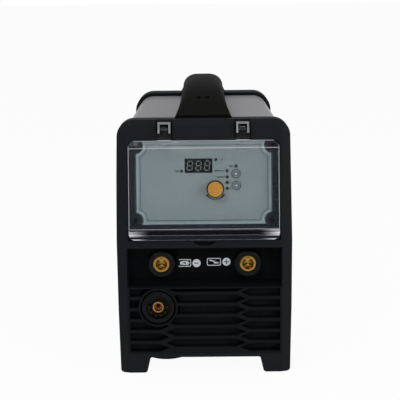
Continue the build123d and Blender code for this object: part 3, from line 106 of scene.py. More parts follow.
def ease(piece, chosen, width, segments):
    """Rounds the edges that chosen(middle, normal, normal) picks."""
    take_up(piece)
    bpy.ops.object.mode_set(mode="EDIT")
    bpy.ops.mesh.select_mode(type="EDGE")
    bpy.ops.mesh.select_all(action="DESELECT")
    bpy.ops.object.mode_set(mode="OBJECT")
    picked = [len(n) == 2 and chosen(middle, *n) for middle, n in edge_table(piece.data)]
    piece.data.edges.foreach_set("select", picked)
    bpy.ops.object.mode_set(mode="EDIT")
    bpy.ops.mesh.bevel(offset=width, segments=segments, profile=0.5, affect="EDGES", clamp_overlap=True)
    bpy.ops.object.mode_set(mode="OBJECT")


def moulding(node, body, name):
    """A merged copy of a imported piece, which stands for it and can have its edges rounded."""
    piece = nodes[node].copy()
    piece.data = nodes[node].data.copy()
    piece.name = name
    piece.parent = None
    piece.matrix_world = Matrix.Identity(4)
    bpy.context.scene.collection.objects.link(piece)
    work_on(
        piece,
        lambda: bpy.ops.mesh.remove_doubles(threshold=0.002 * mm),
        lambda: bpy.ops.mesh.dissolve_limited(angle_limit=radians(0.6)),
    )
    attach(piece, body)
    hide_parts(node)
    return piece


def even_shading(piece):
    """Shades the large flat faces as flat, and keeps the shading of the rounded edges to them."""
    take_up(piece)
    weigh = piece.modifiers.new("shading", "WEIGHTED_NORMAL")
    weigh.keep_sharp = True
    bpy.ops.object.modifier_apply(modifier=weigh.name)


def linear(colour):
    """An sRGB hex colour as linear RGBA."""
    parts = [int(colour[i : i + 2], 16) / 255 for i in (1, 3, 5)]
    return [p / 12.92 if p <= 0.04045 else ((p + 0.055) / 1.055) ** 2.4 for p in parts] + [1.0]


def add_node(material, kind, inputs=None, **settings):
    """A node with its settings; each input is a plain value, another node or one of its outputs."""
    made = material.node_tree.nodes.new(kind)
    for name, value in settings.items():
        setattr(made, name, value)
    for name, value in (inputs or {}).items():
        if isinstance(value, bpy.types.Node):
            value = value.outputs[0]
        if isinstance(value, bpy.types.NodeSocket):
            material.node_tree.links.new(value, made.inputs[name])
        else:
            made.inputs[name].default_value = value
    return made


def blank_material(name):
    """A named material with no nodes yet."""
    material = bpy.data.materials.new(name)
    material.use_nodes = True
    material.node_tree.nodes.clear()
    return material


def grained(
    name, dark, light, rough, grain, depth, ior=1.5, patch=30 * mm, metallic=0.0, coat=0.0, sheen_level=0.5
):
    """A moulded, cast or coated skin: colour that drifts between two tones, over a fine grain."""
    material = blank_material(name)
    place = add_node(material, "ShaderNodeTexCoord").outputs["Object"]
    drift = add_node(
        material,
        "ShaderNodeTexNoise",
        {"Vector": place, "Scale": 1 / patch, "Detail": 4.0, "Roughness": 0.6},
    )
    tone = add_node(
        material,
        "ShaderNodeMix",
        {"Factor": drift, "A": linear(dark), "B": linear(light)},
        data_type="RGBA",
    )
    fine = add_node(
        material,
        "ShaderNodeTexNoise",
        {"Vector": place, "Scale": 1 / grain, "Detail": 2.0, "Roughness": 0.5},
    )
    polish = add_node(
        material,
        "ShaderNodeMapRange",
        {"Value": drift, "To Min": rough - 0.06, "To Max": rough + 0.08},
    )
    bump = add_node(
        material,
        "ShaderNodeBump",
        {"Height": fine, "Strength": 0.6, "Distance": depth},
    )
    shader = add_node(
        material,
        "ShaderNodeBsdfPrincipled",
        {
            "Base Color": tone.outputs["Result"],
            "Roughness": polish,
            "Normal": bump,
            "IOR": ior,
            "Specular IOR Level": sheen_level,
            "Metallic": metallic,
            "Coat Weight": coat,
        },
    )
    add_node(material, "ShaderNodeOutputMaterial", {"Surface": shader})
    return material


def dress(piece, material):
    """Gives a piece its finish."""
    piece.data.materials.clear()
    piece.data.materials.append(material)


front_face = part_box("front_bezel")[0][1]
bezel_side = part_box("front_bezel")[1][0]
waist = 163.3 * mm
edge_rounding = 2.2 * mm
edge_steps = 4
flat_turn = 32


def on_outline(at):
    """True for a place on a bezel's two sides or its top."""
    return abs(at.x) > 95 * mm or at.z > 290 * mm


def looks_out(at, n, m):
    """True for an edge whose two faces look away from the bezel's middle."""
    spoke = at - Vector((0, at.y, waist))
    return n.dot(spoke) + m.dot(spoke) > 0


# The skin is textured ABS: dull, with a grain near 0.3 mm, drawn at 0.9 mm so that it can be seen
bezel_plastic = grained(
    "black_grained_abs", "#141619", "#1A1D20", 0.52, 0.9 * mm, 0.05 * mm, sheen_level=0.07
)
front_bezel = moulding("front_bezel", "housing", "front_bezel_moulding")
ease(
    front_bezel,
    lambda at, n, m: min(n.y, m.y) < -0.2
    and max(n.y, m.y) > -0.12
    and on_outline(at)
    and at.y < front_face + 40 * mm
    and n.dot(m) < 0.9
    and looks_out(at, n, m),
    edge_rounding,
    edge_steps,
)
for corner in front_bezel.data.vertices:
    corner.co.x = max(-bezel_side, min(bezel_side, corner.co.x))
smooth(front_bezel, flat_turn)
even_shading(front_bezel)
dress(front_bezel, bezel_plastic)

# ---------------------------------------------------------------- rear bezel
# The same moulding for the rear: ABS, grained outside, with a large opening for the steel panel.
rear_bezel = moulding("rear_bezel", "housing", "rear_bezel_moulding")
ease(
    rear_bezel,
    lambda at, n, m: max(n.y, m.y) > 0.2
    and min(n.y, m.y) < 0.12
    and on_outline(at)
    and n.dot(m) < 0.9,
    edge_rounding,
    edge_steps,
)
smooth(rear_bezel, flat_turn)
even_shading(rear_bezel)
dress(rear_bezel, bezel_plastic)

# ---------------------------------------------------------------- sheet steel body
# Folded 1.2 mm steel cover over a folded tray, powder coated light grey and baked; the coat has a
# faint orange peel a few millimetres across. The rear panel has the same coat.


def dress_node(node, material):
    """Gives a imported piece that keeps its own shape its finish."""
    for holder in nodes[node].material_slots:
        holder.material = material


powder_coat = grained(
    "grey_powder_coat", "#86868A", "#919195", 0.42, 2.4 * mm, 0.04 * mm, patch=120 * mm, coat=0.15
)
for steel in ("top_cover", "base_tray", "rear_panel"):
    dress_node(steel, powder_coat)
zinc_plate = grained("bright_zinc_plate", "#85878A", "#9B9C9E", 0.3, 3 * mm, 0.01 * mm, metallic=1.0)
dress_node("shelf_plate", zinc_plate)

# ---------------------------------------------------------------- carrying handle
# Two shells of black nylon, moulded with a fine grain that keeps them dull. They meet along a seam
# under the grip and are screwed down on the bezels.
handle_nylon = grained(
    "black_satin_nylon", "#0A0908", "#100F0E", 0.5, 0.8 * mm, 0.03 * mm, sheen_level=0.03
)
for shell in ("handle_shell", "handle_lower_shell"):
    dress_node(shell, handle_nylon)

# ---------------------------------------------------------------- control panel plate
# Slate grey moulded ABS tray, a little dull, that holds the board and the keys behind the clear cover.
plate_abs = grained("slate_abs", "#28313A", "#323C46", 0.5, 1.0 * mm, 0.03 * mm, sheen_level=0.2)
dress_node("control_panel_plate", plate_abs)

# ---------------------------------------------------------------- panel label
# Polyester film, printed from behind: grey ground, a light frame line and a thin dark line inside it.
# It lies on the plate, which is raked back 8 degrees above the unit's waist.
rake = radians(8)


def raked_place():
    """From across, up and out of the raked face to the unit's own axes."""
    turn = Matrix(((1, 0, 0), (0, sin(rake), -cos(rake)), (0, cos(rake), sin(rake)))).to_4x4()
    return Matrix.Translation((0, front_face, waist)) @ turn


label_half = 80.9 * mm
label_rise = 49.6 * mm
label_middle = 68.8 * mm
notch_across = 81.5 * mm
notch_up = 44.25 * mm
notch_radius = 9.0 * mm
light_line_width = 2.7 * mm
dark_line_inset = 4.6 * mm
dark_line_half = 0.35 * mm


def raked_spot(material):
    """The place on a piece turned to the raked face: its across, up and out."""
    place = add_node(material, "ShaderNodeTexCoord").outputs["Object"]
    return add_node(
        material,
        "ShaderNodeMapping",
        {"Vector": place, "Location": (0, front_face, waist), "Rotation": (pi / 2 - rake, 0, 0)},
        vector_type="TEXTURE",
    )


def label_film():
    """Printed film, whose lines keep to its edge and to the round notches at its corners."""
    material = blank_material("printed_polyester_film")
    spot = add_node(material, "ShaderNodeSeparateXYZ", {"Vector": raked_spot(material)}).outputs
    across = add_node(material, "ShaderNodeMath", {0: spot["X"]}, operation="ABSOLUTE")
    above = add_node(material, "ShaderNodeMath", {0: spot["Y"], 1: label_middle}, operation="SUBTRACT")
    up = add_node(material, "ShaderNodeMath", {0: above}, operation="ABSOLUTE")
    side = add_node(material, "ShaderNodeMath", {0: label_half, 1: across}, operation="SUBTRACT")
    end = add_node(material, "ShaderNodeMath", {0: label_rise, 1: up}, operation="SUBTRACT")
    quarter = add_node(material, "ShaderNodeCombineXYZ", {"X": across, "Y": up})
    reach = add_node(
        material,
        "ShaderNodeVectorMath",
        {0: quarter, 1: (notch_across, notch_up, 0)},
        operation="DISTANCE",
    ).outputs["Value"]
    notch = add_node(material, "ShaderNodeMath", {0: reach, 1: notch_radius}, operation="SUBTRACT")
    straight = add_node(material, "ShaderNodeMath", {0: side, 1: end}, operation="MINIMUM")
    inset = add_node(material, "ShaderNodeMath", {0: straight, 1: notch}, operation="MINIMUM")
    light_line = add_node(
        material, "ShaderNodeMath", {0: inset, 1: light_line_width}, operation="LESS_THAN"
    )
    dark_line = add_node(
        material, "ShaderNodeMath", {0: inset, 1: dark_line_inset, 2: dark_line_half}, operation="COMPARE"
    )
    place = add_node(material, "ShaderNodeTexCoord").outputs["Object"]
    drift = add_node(
        material, "ShaderNodeTexNoise", {"Vector": place, "Scale": 1 / (33.3 * mm), "Detail": 3.0}
    )
    ground = add_node(
        material,
        "ShaderNodeMix",
        {"Factor": drift, "A": linear("#A9B1B5"), "B": linear("#B2BABD")},
        data_type="RGBA",
    ).outputs["Result"]
    framed = add_node(
        material,
        "ShaderNodeMix",
        {"Factor": light_line, "A": ground, "B": linear("#C4D2D8")},
        data_type="RGBA",
    ).outputs["Result"]
    lined = add_node(
        material,
        "ShaderNodeMix",
        {"Factor": dark_line, "A": framed, "B": linear("#3F4F5C")},
        data_type="RGBA",
    ).outputs["Result"]
    fine = add_node(material, "ShaderNodeTexNoise", {"Vector": place, "Scale": 1 / (0.7 * mm)})
    bump = add_node(
        material, "ShaderNodeBump", {"Height": fine, "Strength": 0.3, "Distance": 0.01 * mm}
    )
    shader = add_node(
        material,
        "ShaderNodeBsdfPrincipled",
        {"Base Color": lined, "Normal": bump, "Roughness": 0.36},
    )
    add_node(material, "ShaderNodeOutputMaterial", {"Surface": shader})
    return material


dress_node("panel_label", label_film())

# ---------------------------------------------------------------- print and painted shadow on the label
# Screen printed marks: a ring round each lamp and a bar for each lamp's words. In the same dark ink,
# a dark arc under the knob is the knob's painted shadow. The ink is a film too thin to measure; here it
# stands 0.05 mm proud.
plate_out = -14 * mm
film_thickness = 0.4 * mm
label_face = plate_out + film_thickness
ink_depth = 0.05 * mm
dark_ink_and_shadow = grained("dark_screen_ink_and_painted_shadow", "#080B0E", "#0E1216", 0.5, 0.6 * mm, 0.002 * mm)


def flat_disc(radius, across, up, out, sides=32):
    """A flat disc, the start of a mark."""
    bpy.ops.mesh.primitive_circle_add(
        vertices=sides, radius=radius, fill_type="NGON", location=(across, up, out)
    )
    return bpy.context.object


def flat_ring(outer, width, across, up, out):
    """A flat ring: a disc inset in edit mode, its middle taken out."""
    ring = flat_disc(outer, across, up, out, 48)
    bpy.ops.object.mode_set(mode="EDIT")
    bpy.ops.mesh.select_all(action="SELECT")
    bpy.ops.mesh.inset(thickness=width)
    bpy.ops.mesh.delete(type="FACE")
    bpy.ops.object.mode_set(mode="OBJECT")
    return ring


def flat_bar(length, width, across, up, out, turn=0.0):
    """A bar with pointed ends, drawn from a hexagon pulled apart."""
    bpy.ops.mesh.primitive_circle_add(vertices=6, radius=width / 2, fill_type="NGON", location=(0, 0, 0))
    bar = bpy.context.object
    for corner in bar.data.vertices:
        corner.co.x += (length - width) / 2 * (1 if corner.co.x > 0 else -1)
        corner.co.y *= 1 / sin(pi / 3)
    bar.matrix_world = Matrix.Translation((across, up, out)) @ Matrix.Rotation(turn, 4, "Z")
    return bar


def joined(name, pieces, place, depth):
    """Flat marks made one piece, given a thickness towards the viewer and put in their place."""
    deselect()
    for piece in pieces:
        piece.select_set(True)
    bpy.context.view_layer.objects.active = pieces[0]
    bpy.ops.object.join()
    made = bpy.context.object
    made.name = name
    bpy.ops.object.transform_apply(location=True, rotation=True, scale=True)
    thick = made.modifiers.new("film", "SOLIDIFY")
    thick.thickness = depth
    thick.offset = 1
    bpy.ops.object.modifier_apply(modifier=thick.name)
    made.data.transform(place)
    return made


# the knob's painted shadow: dark bars set in an arc under the knob, wider towards the arc's ends
knob_x = 13.65 * mm
knob_up = 61.2 * mm
shadow_arc_radius = 12.4 * mm
shadow_arc_bars = 13
shadow_arc_start = 216
shadow_arc_step = 9
marks = []
for step in range(shadow_arc_bars):
    from_middle = abs(step - 6) / 6
    angle = radians(shadow_arc_start + shadow_arc_step * step)
    marks.append(
        flat_bar(
            2.6 * mm,
            (1.1 + 0.9 * from_middle) * mm,
            knob_x + shadow_arc_radius * cos(angle),
            knob_up + shadow_arc_radius * sin(angle),
            label_face,
            angle + pi / 2,
        )
    )
# the words' bars: across, up and length in millimetres
word_bar = 1.3 * mm
words = (
    (-31.5, 83.0, 5.0),
    (22.0, 96.5, 2.4),
    (19.0, 83.0, 13.0),
    (20.5, 75.6, 10.0),
    (33.0, 88.7, 5.0),
    (31.4, 69.0, 1.6),
    (31.4, 61.9, 1.6),
)
for word_x, word_up, length in words:
    marks.append(flat_bar(length * mm, word_bar, word_x * mm, word_up * mm, label_face))
# the lamps' rings: across and up in millimetres; the last four stand in a column
lamp_ring = 2.0 * mm
lamp_spots = [(-26.6, 83.0), (14.6, 96.5), (38.7, 88.7)]
lamp_spots += [(28.0, lamp_up) for lamp_up in (83.0, 75.6, 69.0, 61.9)]
for lamp_x, lamp_up in lamp_spots:
    marks.append(flat_ring(lamp_ring, 0.75 * mm, lamp_x * mm, lamp_up * mm, label_face))
label_print_and_knob_shadow = joined("label_print_and_knob_shadow", marks, raked_place(), ink_depth)
dress(label_print_and_knob_shadow, dark_ink_and_shadow)
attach(label_print_and_knob_shadow, "housing")

# ---------------------------------------------------------------- display
# Tinted acrylic window over a three digit block of black resin. Its unlit segments show as pale grey
# bars; they lie 0.02 mm in front of the window's face, because it isn't clear here.
smoked_acrylic = grained(
    "smoked_acrylic", "#141519", "#191B1F", 0.15, 4 * mm, 0.002 * mm, ior=1.49, sheen_level=0.2
)
dress_node("display_window", smoked_acrylic)
block_resin = grained("black_display_resin", "#101112", "#17181A", 0.5, 1.0 * mm, 0.02 * mm)
dress_node("display_module", block_resin)
unlit_segment = grained("unlit_segment", "#8D9092", "#A2A5A7", 0.4, 1.0 * mm, 0.002 * mm)
display_x = -6.2 * mm
display_up = 89.4 * mm
window_face = plate_out + 0.02 * mm
digit_pitch = 10.4 * mm
digit_rise = 5.4 * mm
digit_half = 2.9 * mm
segment_width = 1.1 * mm
lean = 0.1
segments = []
for digit in range(3):
    middle = display_x + (digit - 1) * digit_pitch
    for up in (digit_rise, 0, -digit_rise):
        segments.append(
            flat_bar(4.6 * mm, segment_width, middle + lean * up, display_up + up, window_face)
        )
    for side in (-1, 1):
        for up in (-digit_rise / 2, digit_rise / 2):
            across = middle + side * digit_half + lean * up
            segments.append(
                flat_bar(4.4 * mm, segment_width, across, display_up + up, window_face, radians(84))
            )
display_segments = joined("display_segments", segments, raked_place(), 0.04 * mm)
dress(display_segments, unlit_segment)
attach(display_segments, "housing")

# ---------------------------------------------------------------- boards behind the panel
# Glass epoxy boards under green resist; the resist is glossy over a faint weave.
board_resist = grained("green_solder_resist", "#12472A", "#1A5735", 0.3, 1.4 * mm, 0.01 * mm)
for board in ("control_board", "main_board"):
    dress_node(board, board_resist)
nickel = grained("nickelled_steel", "#9C9B98", "#B3B2AF", 0.28, 1.5 * mm, 0.004 * mm, metallic=1.0)
for part in ("encoder_body", "encoder_shaft", "key_switches", "power_switch_pin"):
    dress_node(part, nickel)

# ---------------------------------------------------------------- current knob
# Black ABS skirt under a fluted cap moulded in orange, pressed on the encoder's shaft. Both come from
# the mould with a satin skin.


def round_all(piece, width, angle=35, segments=2, harden=True):
    """Rounds every sharp edge of a piece a little, as a mould leaves it."""
    take_up(piece)
    bevel = piece.modifiers.new("edges", "BEVEL")
    bevel.width = width
    bevel.segments = segments
    bevel.limit_method = "ANGLE"
    bevel.angle_limit = radians(angle)
    bevel.use_clamp_overlap = True
    bevel.harden_normals = harden
    bpy.ops.object.modifier_apply(modifier=bevel.name)
    smooth(piece, 35)


knob_skirt = moulding("current_knob", "knob", "current_knob_skirt")
round_all(knob_skirt, 0.25 * mm)
skirt_abs = grained("black_satin_abs", "#101113", "#17181B", 0.4, 0.7 * mm, 0.01 * mm, sheen_level=0.15)
dress(knob_skirt, skirt_abs)
knob_cap = moulding("knob_cap", "knob", "knob_cap_fluted")
round_all(knob_cap, 0.35 * mm, 40)
orange_abs = grained("orange_satin_abs", "#FFAA3E", "#FFB348", 0.36, 0.7 * mm, 0.008 * mm)
dress(knob_cap, orange_abs)

# ---------------------------------------------------------------- push keys
# Soft touch caps in the label's grey, each with two printed rings and a light spot at its middle.
key_cap_grey = grained("grey_soft_touch", "#ADB5BA", "#B6BEC2", 0.5, 0.6 * mm, 0.006 * mm)
ring_ink = grained("blue_grey_ink", "#121E3A", "#1A2744", 0.5, 0.6 * mm, 0.002 * mm)
spot_ink = grained("white_ink", "#D8DEDF", "#E2E7E8", 0.5, 0.6 * mm, 0.002 * mm)
key_face = plate_out + 0.9 * mm
key_ink = 0.04 * mm
keys = (
    ("mode_button", "mode_key", 38.6 * mm, 79.4 * mm),
    ("select_button", "select_key", 38.8 * mm, 65.3 * mm),
)
for key, body, key_x, key_up in keys:
    cap = moulding(key, body, key + "_cap")
    round_all(cap, 0.25 * mm)
    dress(cap, key_cap_grey)
    rings = [
        flat_ring(5.5 * mm, 1.0 * mm, key_x, key_up, key_face),
        flat_ring(3.1 * mm, 0.9 * mm, key_x, key_up, key_face),
    ]
    ring = joined(key + "_rings", rings, raked_place(), key_ink)
    dress(ring, ring_ink)
    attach(ring, body)
    disc = flat_disc(1.5 * mm, key_x, key_up, key_face)
    spot = joined(key + "_spot", [disc], raked_place(), key_ink)
    dress(spot, spot_ink)
    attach(spot, body)

# ---------------------------------------------------------------- indicator lamps
# Domed light guides in clear acrylic, dark while the lamps are off.
lamp_acrylic = grained("unlit_light_guide", "#1D2226", "#262C31", 0.15, 2 * mm, 0.002 * mm, ior=1.49)
dress_node("indicator_lamps", lamp_acrylic)

# ---------------------------------------------------------------- screws
# Steel pan heads with a cross recess: blackened in the panel and the handle, zinc plated in the sides
# and round the fan. Each kind of head is made once and copied.
black_screw = grained("blackened_steel", "#1C1D1F", "#2B2C2E", 0.34, 1.2 * mm, 0.01 * mm, metallic=0.8)


def screw(radius, rise, shank, length):
    """A pan head screw, its head's underside at the origin and its head along +Z."""
    bpy.ops.mesh.primitive_cylinder_add(vertices=32, radius=radius, depth=rise, location=(0, 0, rise / 2))
    head = bpy.context.object
    bpy.ops.object.transform_apply(location=True, rotation=False, scale=False)
    ease(head, lambda at, n, m: at.z > rise * 0.9 and n.dot(m) < 0.5, rise * 0.7, 4)
    bpy.ops.mesh.primitive_cylinder_add(
        vertices=16, radius=shank, depth=length, location=(0, 0, -length / 2)
    )
    stem = bpy.context.object
    bpy.ops.object.transform_apply(location=True, rotation=False, scale=False)
    for turn in (0, pi / 2):
        bpy.ops.mesh.primitive_cube_add(size=1, location=(0, 0, rise))
        cutter = bpy.context.object
        cutter.scale = (radius * 1.1, radius * 0.28, rise * 1.3)
        cutter.rotation_euler = (0, 0, turn + radians(20))
        cut = head.modifiers.new("recess", "BOOLEAN")
        cut.operation = "DIFFERENCE"
        cut.object = cutter
        take_up(head)
        bpy.ops.object.modifier_apply(modifier=cut.name)
        bpy.data.objects.remove(cutter)
    deselect()
    stem.select_set(True)
    head.select_set(True)
    bpy.context.view_layer.objects.active = head
    bpy.ops.object.join()
    smooth(head, 35)
    return head


def set_screws(name, body, node, pattern, places, material):
    """Copies of one screw at each place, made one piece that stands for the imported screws."""
    copies = []
    for place in places:
        copy = pattern.copy()
        copy.data = pattern.data.copy()
        bpy.context.scene.collection.objects.link(copy)
        copy.data.transform(place)
        copies.append(copy)
    deselect()
    for copy in copies:
        copy.select_set(True)
    bpy.context.view_layer.objects.active = copies[0]
    bpy.ops.object.join()
    made = bpy.context.object
    made.name = name
    dress(made, material)
    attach(made, body)
    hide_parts(node)
    bpy.data.objects.remove(pattern)


set_screws(
    "panel_screw_heads",
    "housing",
    "panel_screws",
    screw(3.2 * mm, 1.8 * mm, 1.5 * mm, 7.5 * mm),
    [
        raked_place() @ Matrix.Translation((x * mm, up * mm, plate_out))
        for x in (-81.5, 81.5)
        for up in (24.5, 113.0)
    ],
    black_screw,
)

# ---------------------------------------------------------------- clear cover
# One shot of clear polycarbonate with a grooved lip to lift it by. Its face lets nearly all the light
# through; a band of the thick lip is tinted darker as painted shade, and its rim, bends and grooves
# carry painted highlights: pale lines, and streaks on the lip.
cover = moulding("clear_cover", "cover", "clear_cover_moulding")
round_all(cover, 0.35 * mm, 30, 3, harden=False)
cover_foot = 1.4 * mm
cover_head = 119.5 * mm
cover_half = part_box("clear_cover")[1][0]
lip_half = 5.2 * mm
lip_middle = 6.8 * mm
lip_top = 13.6 * mm
rim_width = 0.6 * mm
streak_length = 71.4 * mm
streak_height = 3.03 * mm
clear_plastic = blank_material("clear_polycarbonate")
cover_turned = raked_spot(clear_plastic)
cover_parts = add_node(clear_plastic, "ShaderNodeSeparateXYZ", {"Vector": cover_turned}).outputs
cover_up = cover_parts["Y"]
cover_across = add_node(clear_plastic, "ShaderNodeMath", {0: cover_parts["X"]}, operation="ABSOLUTE")
# painted shade: a band across the lip lets less light through than the clear face
lip_shade_band = add_node(
    clear_plastic, "ShaderNodeMath", {0: cover_up, 1: lip_middle, 2: lip_half}, operation="COMPARE"
)
clearness_and_lip_shade = add_node(
    clear_plastic,
    "ShaderNodeMix",
    {"Factor": lip_shade_band, "A": linear("#F6F8F8"), "B": linear("#A2A6B0")},
    data_type="RGBA",
)
see_through = add_node(
    clear_plastic, "ShaderNodeBsdfTransparent", {"Color": clearness_and_lip_shade.outputs["Result"]}
)
cover_shader = add_node(
    clear_plastic,
    "ShaderNodeBsdfPrincipled",
    {
        "Base Color": linear("#EEF2F3"),
        "Roughness": 0.03,
        "IOR": 1.58,
        "Specular IOR Level": 0.12,
        "Transmission Weight": 1.0,
    },
)
# four fifths of what is seen passes straight through, and all the light that falls on what is behind
rays = add_node(clear_plastic, "ShaderNodeLightPath").outputs
lighting = add_node(
    clear_plastic,
    "ShaderNodeMath",
    {0: rays["Is Shadow Ray"], 1: rays["Is Diffuse Ray"]},
    operation="MAXIMUM",
)
passing = add_node(clear_plastic, "ShaderNodeMath", {0: lighting, 1: 0.8}, operation="MAXIMUM")
cover_mix = add_node(clear_plastic, "ShaderNodeMixShader", {0: passing, 1: cover_shader, 2: see_through})


def highlight_line(up, half_width, strength):
    """A level line of painted highlight along the cover, where it is bent, cut or grooved."""
    inside = add_node(
        clear_plastic, "ShaderNodeMath", {0: cover_up, 1: up, 2: half_width}, operation="COMPARE"
    )
    return add_node(clear_plastic, "ShaderNodeMath", {0: inside, 1: strength}, operation="MULTIPLY")


# painted highlights: masks for the rim, the lines and the lip's streaks pick where pale colour is mixed in
at_rim = add_node(
    clear_plastic, "ShaderNodeMath", {0: cover_across, 1: cover_half - rim_width}, operation="GREATER_THAN"
)
rim_highlight = add_node(clear_plastic, "ShaderNodeMath", {0: at_rim, 1: 0.3}, operation="MULTIPLY")
stretched = add_node(
    clear_plastic,
    "ShaderNodeMapping",
    {"Vector": cover_turned, "Scale": (1 / streak_length, 1 / streak_height, 1)},
)
highlight_streaks = add_node(
    clear_plastic, "ShaderNodeTexNoise", {"Vector": stretched, "Scale": 1.0, "Detail": 1.5}
)
highlight_streak = add_node(
    clear_plastic, "ShaderNodeMapRange", {"Value": highlight_streaks, "From Min": 0.44, "From Max": 0.64}
)
# the lip's painted highlight streaks grow brighter from the middle of the cover to its corners
corner_light = add_node(
    clear_plastic,
    "ShaderNodeMapRange",
    {"Value": cover_across, "From Min": 64 * mm, "From Max": 92 * mm, "To Min": 0.0, "To Max": 0.85},
    interpolation_type="SMOOTHSTEP",
)
on_lip = add_node(clear_plastic, "ShaderNodeMath", {0: cover_up, 1: lip_top}, operation="LESS_THAN")
streak_light = add_node(
    clear_plastic, "ShaderNodeMath", {0: corner_light, 1: highlight_streak}, operation="MULTIPLY"
)
caught_light = add_node(
    clear_plastic, "ShaderNodeMath", {0: on_lip, 1: streak_light}, operation="MULTIPLY"
)
for line in (
    rim_highlight,
    highlight_line(cover_head, 0.6 * mm, 0.35),
    highlight_line(cover_head - 9 * mm, 0.4 * mm, 0.3),
    highlight_line(cover_foot + 5.7 * mm, 0.4 * mm, 0.1),
    highlight_line(cover_foot + 12.8 * mm, 0.5 * mm, 0.2),
    highlight_line(cover_foot, 0.6 * mm, 0.08),
):
    caught_light = add_node(
        clear_plastic, "ShaderNodeMath", {0: caught_light, 1: line}, operation="MAXIMUM"
    )
# the painted highlight itself: a pale, rough surface mixed over the clear one where the masks reach
lit_edge = add_node(
    clear_plastic, "ShaderNodeBsdfPrincipled", {"Base Color": linear("#F4F2F8"), "Roughness": 0.25}
)
edge_mix = add_node(clear_plastic, "ShaderNodeMixShader", {0: caught_light, 1: cover_mix, 2: lit_edge})
add_node(clear_plastic, "ShaderNodeOutputMaterial", {"Surface": edge_mix})
dress(cover, clear_plastic)

# ---------------------------------------------------------------- hinges
# Clear arms bonded to the cover turn on steel pins in zinc plated brackets.
dress_node("hinge_arms", clear_plastic)
brackets = moulding("hinge_brackets", "housing", "hinge_brackets_plated")
round_all(brackets, 0.5 * mm)
dress(brackets, zinc_plate)
dress_node("hinge_pins", black_screw)

# ---------------------------------------------------------------- socket panel
# Black ABS moulding, recessed between the two bezel sides, with a sloping floor. Its fine grain makes
# it the deepest black of the front.
recess_abs = grained("black_fine_abs", "#060708", "#090A0C", 0.5, 0.8 * mm, 0.03 * mm, sheen_level=0.03)
socket_panel = moulding("socket_panel", "housing", "socket_panel_moulding")
round_all(socket_panel, 0.6 * mm)
dress(socket_panel, recess_abs)

# ---------------------------------------------------------------- current sockets
# Glass filled nylon collars round turned brass contacts; a brass cam at the bottom of each bore
# locks the plug.
collar_nylon = grained(
    "black_glass_filled_nylon", "#08090A", "#0D0E10", 0.3, 0.9 * mm, 0.02 * mm, sheen_level=0.1
)
lathe_pitch = 1.208 * mm


def turned_brass(name, across, up):
    """Brass with the rings that a lathe leaves round the piece's own axis, drawn coarse enough to see."""
    material = blank_material(name)
    place = add_node(material, "ShaderNodeTexCoord").outputs["Object"]
    centred = add_node(
        material, "ShaderNodeMapping", {"Vector": place, "Location": (-across, 0, -up)}
    )
    rings = add_node(
        material,
        "ShaderNodeTexWave",
        {"Vector": centred, "Scale": 2 * pi / (20 * lathe_pitch), "Distortion": 0.4},
        wave_type="RINGS",
        rings_direction="Y",
    )
    drift = add_node(material, "ShaderNodeTexNoise", {"Vector": place, "Scale": 1 / (3.33 * mm)})
    tone = add_node(
        material,
        "ShaderNodeMix",
        {"Factor": drift, "A": linear("#86652C"), "B": linear("#A9853F")},
        data_type="RGBA",
    )
    bump = add_node(
        material,
        "ShaderNodeBump",
        {"Height": rings.outputs["Fac"], "Strength": 0.35, "Distance": 0.03 * mm},
    )
    shader = add_node(
        material,
        "ShaderNodeBsdfPrincipled",
        {
            "Base Color": tone.outputs["Result"],
            "Normal": bump,
            "Metallic": 1.0,
            "Roughness": 0.24,
        },
    )
    add_node(material, "ShaderNodeOutputMaterial", {"Surface": shader})
    return material


def upright_place():
    """From across, up and out of the upright front face to the unit's own axes."""
    turn = Matrix(((1, 0, 0), (0, 0, -1), (0, 1, 0))).to_4x4()
    return Matrix.Translation((0, front_face, 0)) @ turn


def locking_cam(radius, depth, slot_width, slot_length):
    """A disc round the origin with two slots crossed in its face, which leave its lugs raised."""
    bpy.ops.mesh.primitive_cylinder_add(vertices=48, radius=radius, depth=depth, location=(0, 0, 0))
    disc = bpy.context.object
    for turn in (radians(35), radians(-35)):
        bpy.ops.mesh.primitive_cube_add(size=1, location=(0, 0, depth / 2))
        cutter = bpy.context.object
        cutter.scale = (slot_length, slot_width, depth)
        cutter.rotation_euler = (0, 0, turn)
        cut = disc.modifiers.new("slot", "BOOLEAN")
        cut.object = cutter
        take_up(disc)
        bpy.ops.object.modifier_apply(modifier=cut.name)
        bpy.data.objects.remove(cutter)
    round_all(disc, 0.3 * mm, 40)
    return disc


socket_across = 52 * mm
socket_up = 133.7 * mm
cam_out = -15.5 * mm
for polarity, across in (("negative", -socket_across), ("positive", socket_across)):
    collar = moulding(polarity + "_socket_body", "housing", polarity + "_socket_collar")
    round_all(collar, 0.5 * mm)
    dress(collar, collar_nylon)
    brass = turned_brass(polarity + "_turned_brass", across, socket_up)
    sleeve = moulding(polarity + "_socket_contact", "housing", polarity + "_socket_sleeve")
    round_all(sleeve, 0.5 * mm)
    dress(sleeve, brass)
    cam = locking_cam(6.4 * mm, 5 * mm, 2.2 * mm, 14 * mm)
    cam.name = polarity + "_socket_cam"
    cam.data.transform(upright_place() @ Matrix.Translation((across, socket_up, cam_out)))
    dress(cam, brass)
    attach(cam, "housing")
dress_node("socket_nuts", brass)

# ---------------------------------------------------------------- marks between the sockets
# White pad printed marks on the recess: a minus and a plus in discs, and two framed pictures of a
# clamp and of an electrode holder, drawn plain.
recess_face = -13 * mm
white_print = grained("white_pad_print", "#B9BFC4", "#C6CBD0", 0.5, 0.8 * mm, 0.002 * mm)
black_print = grained("black_pad_print", "#1B1C1E", "#232426", 0.5, 0.8 * mm, 0.002 * mm)


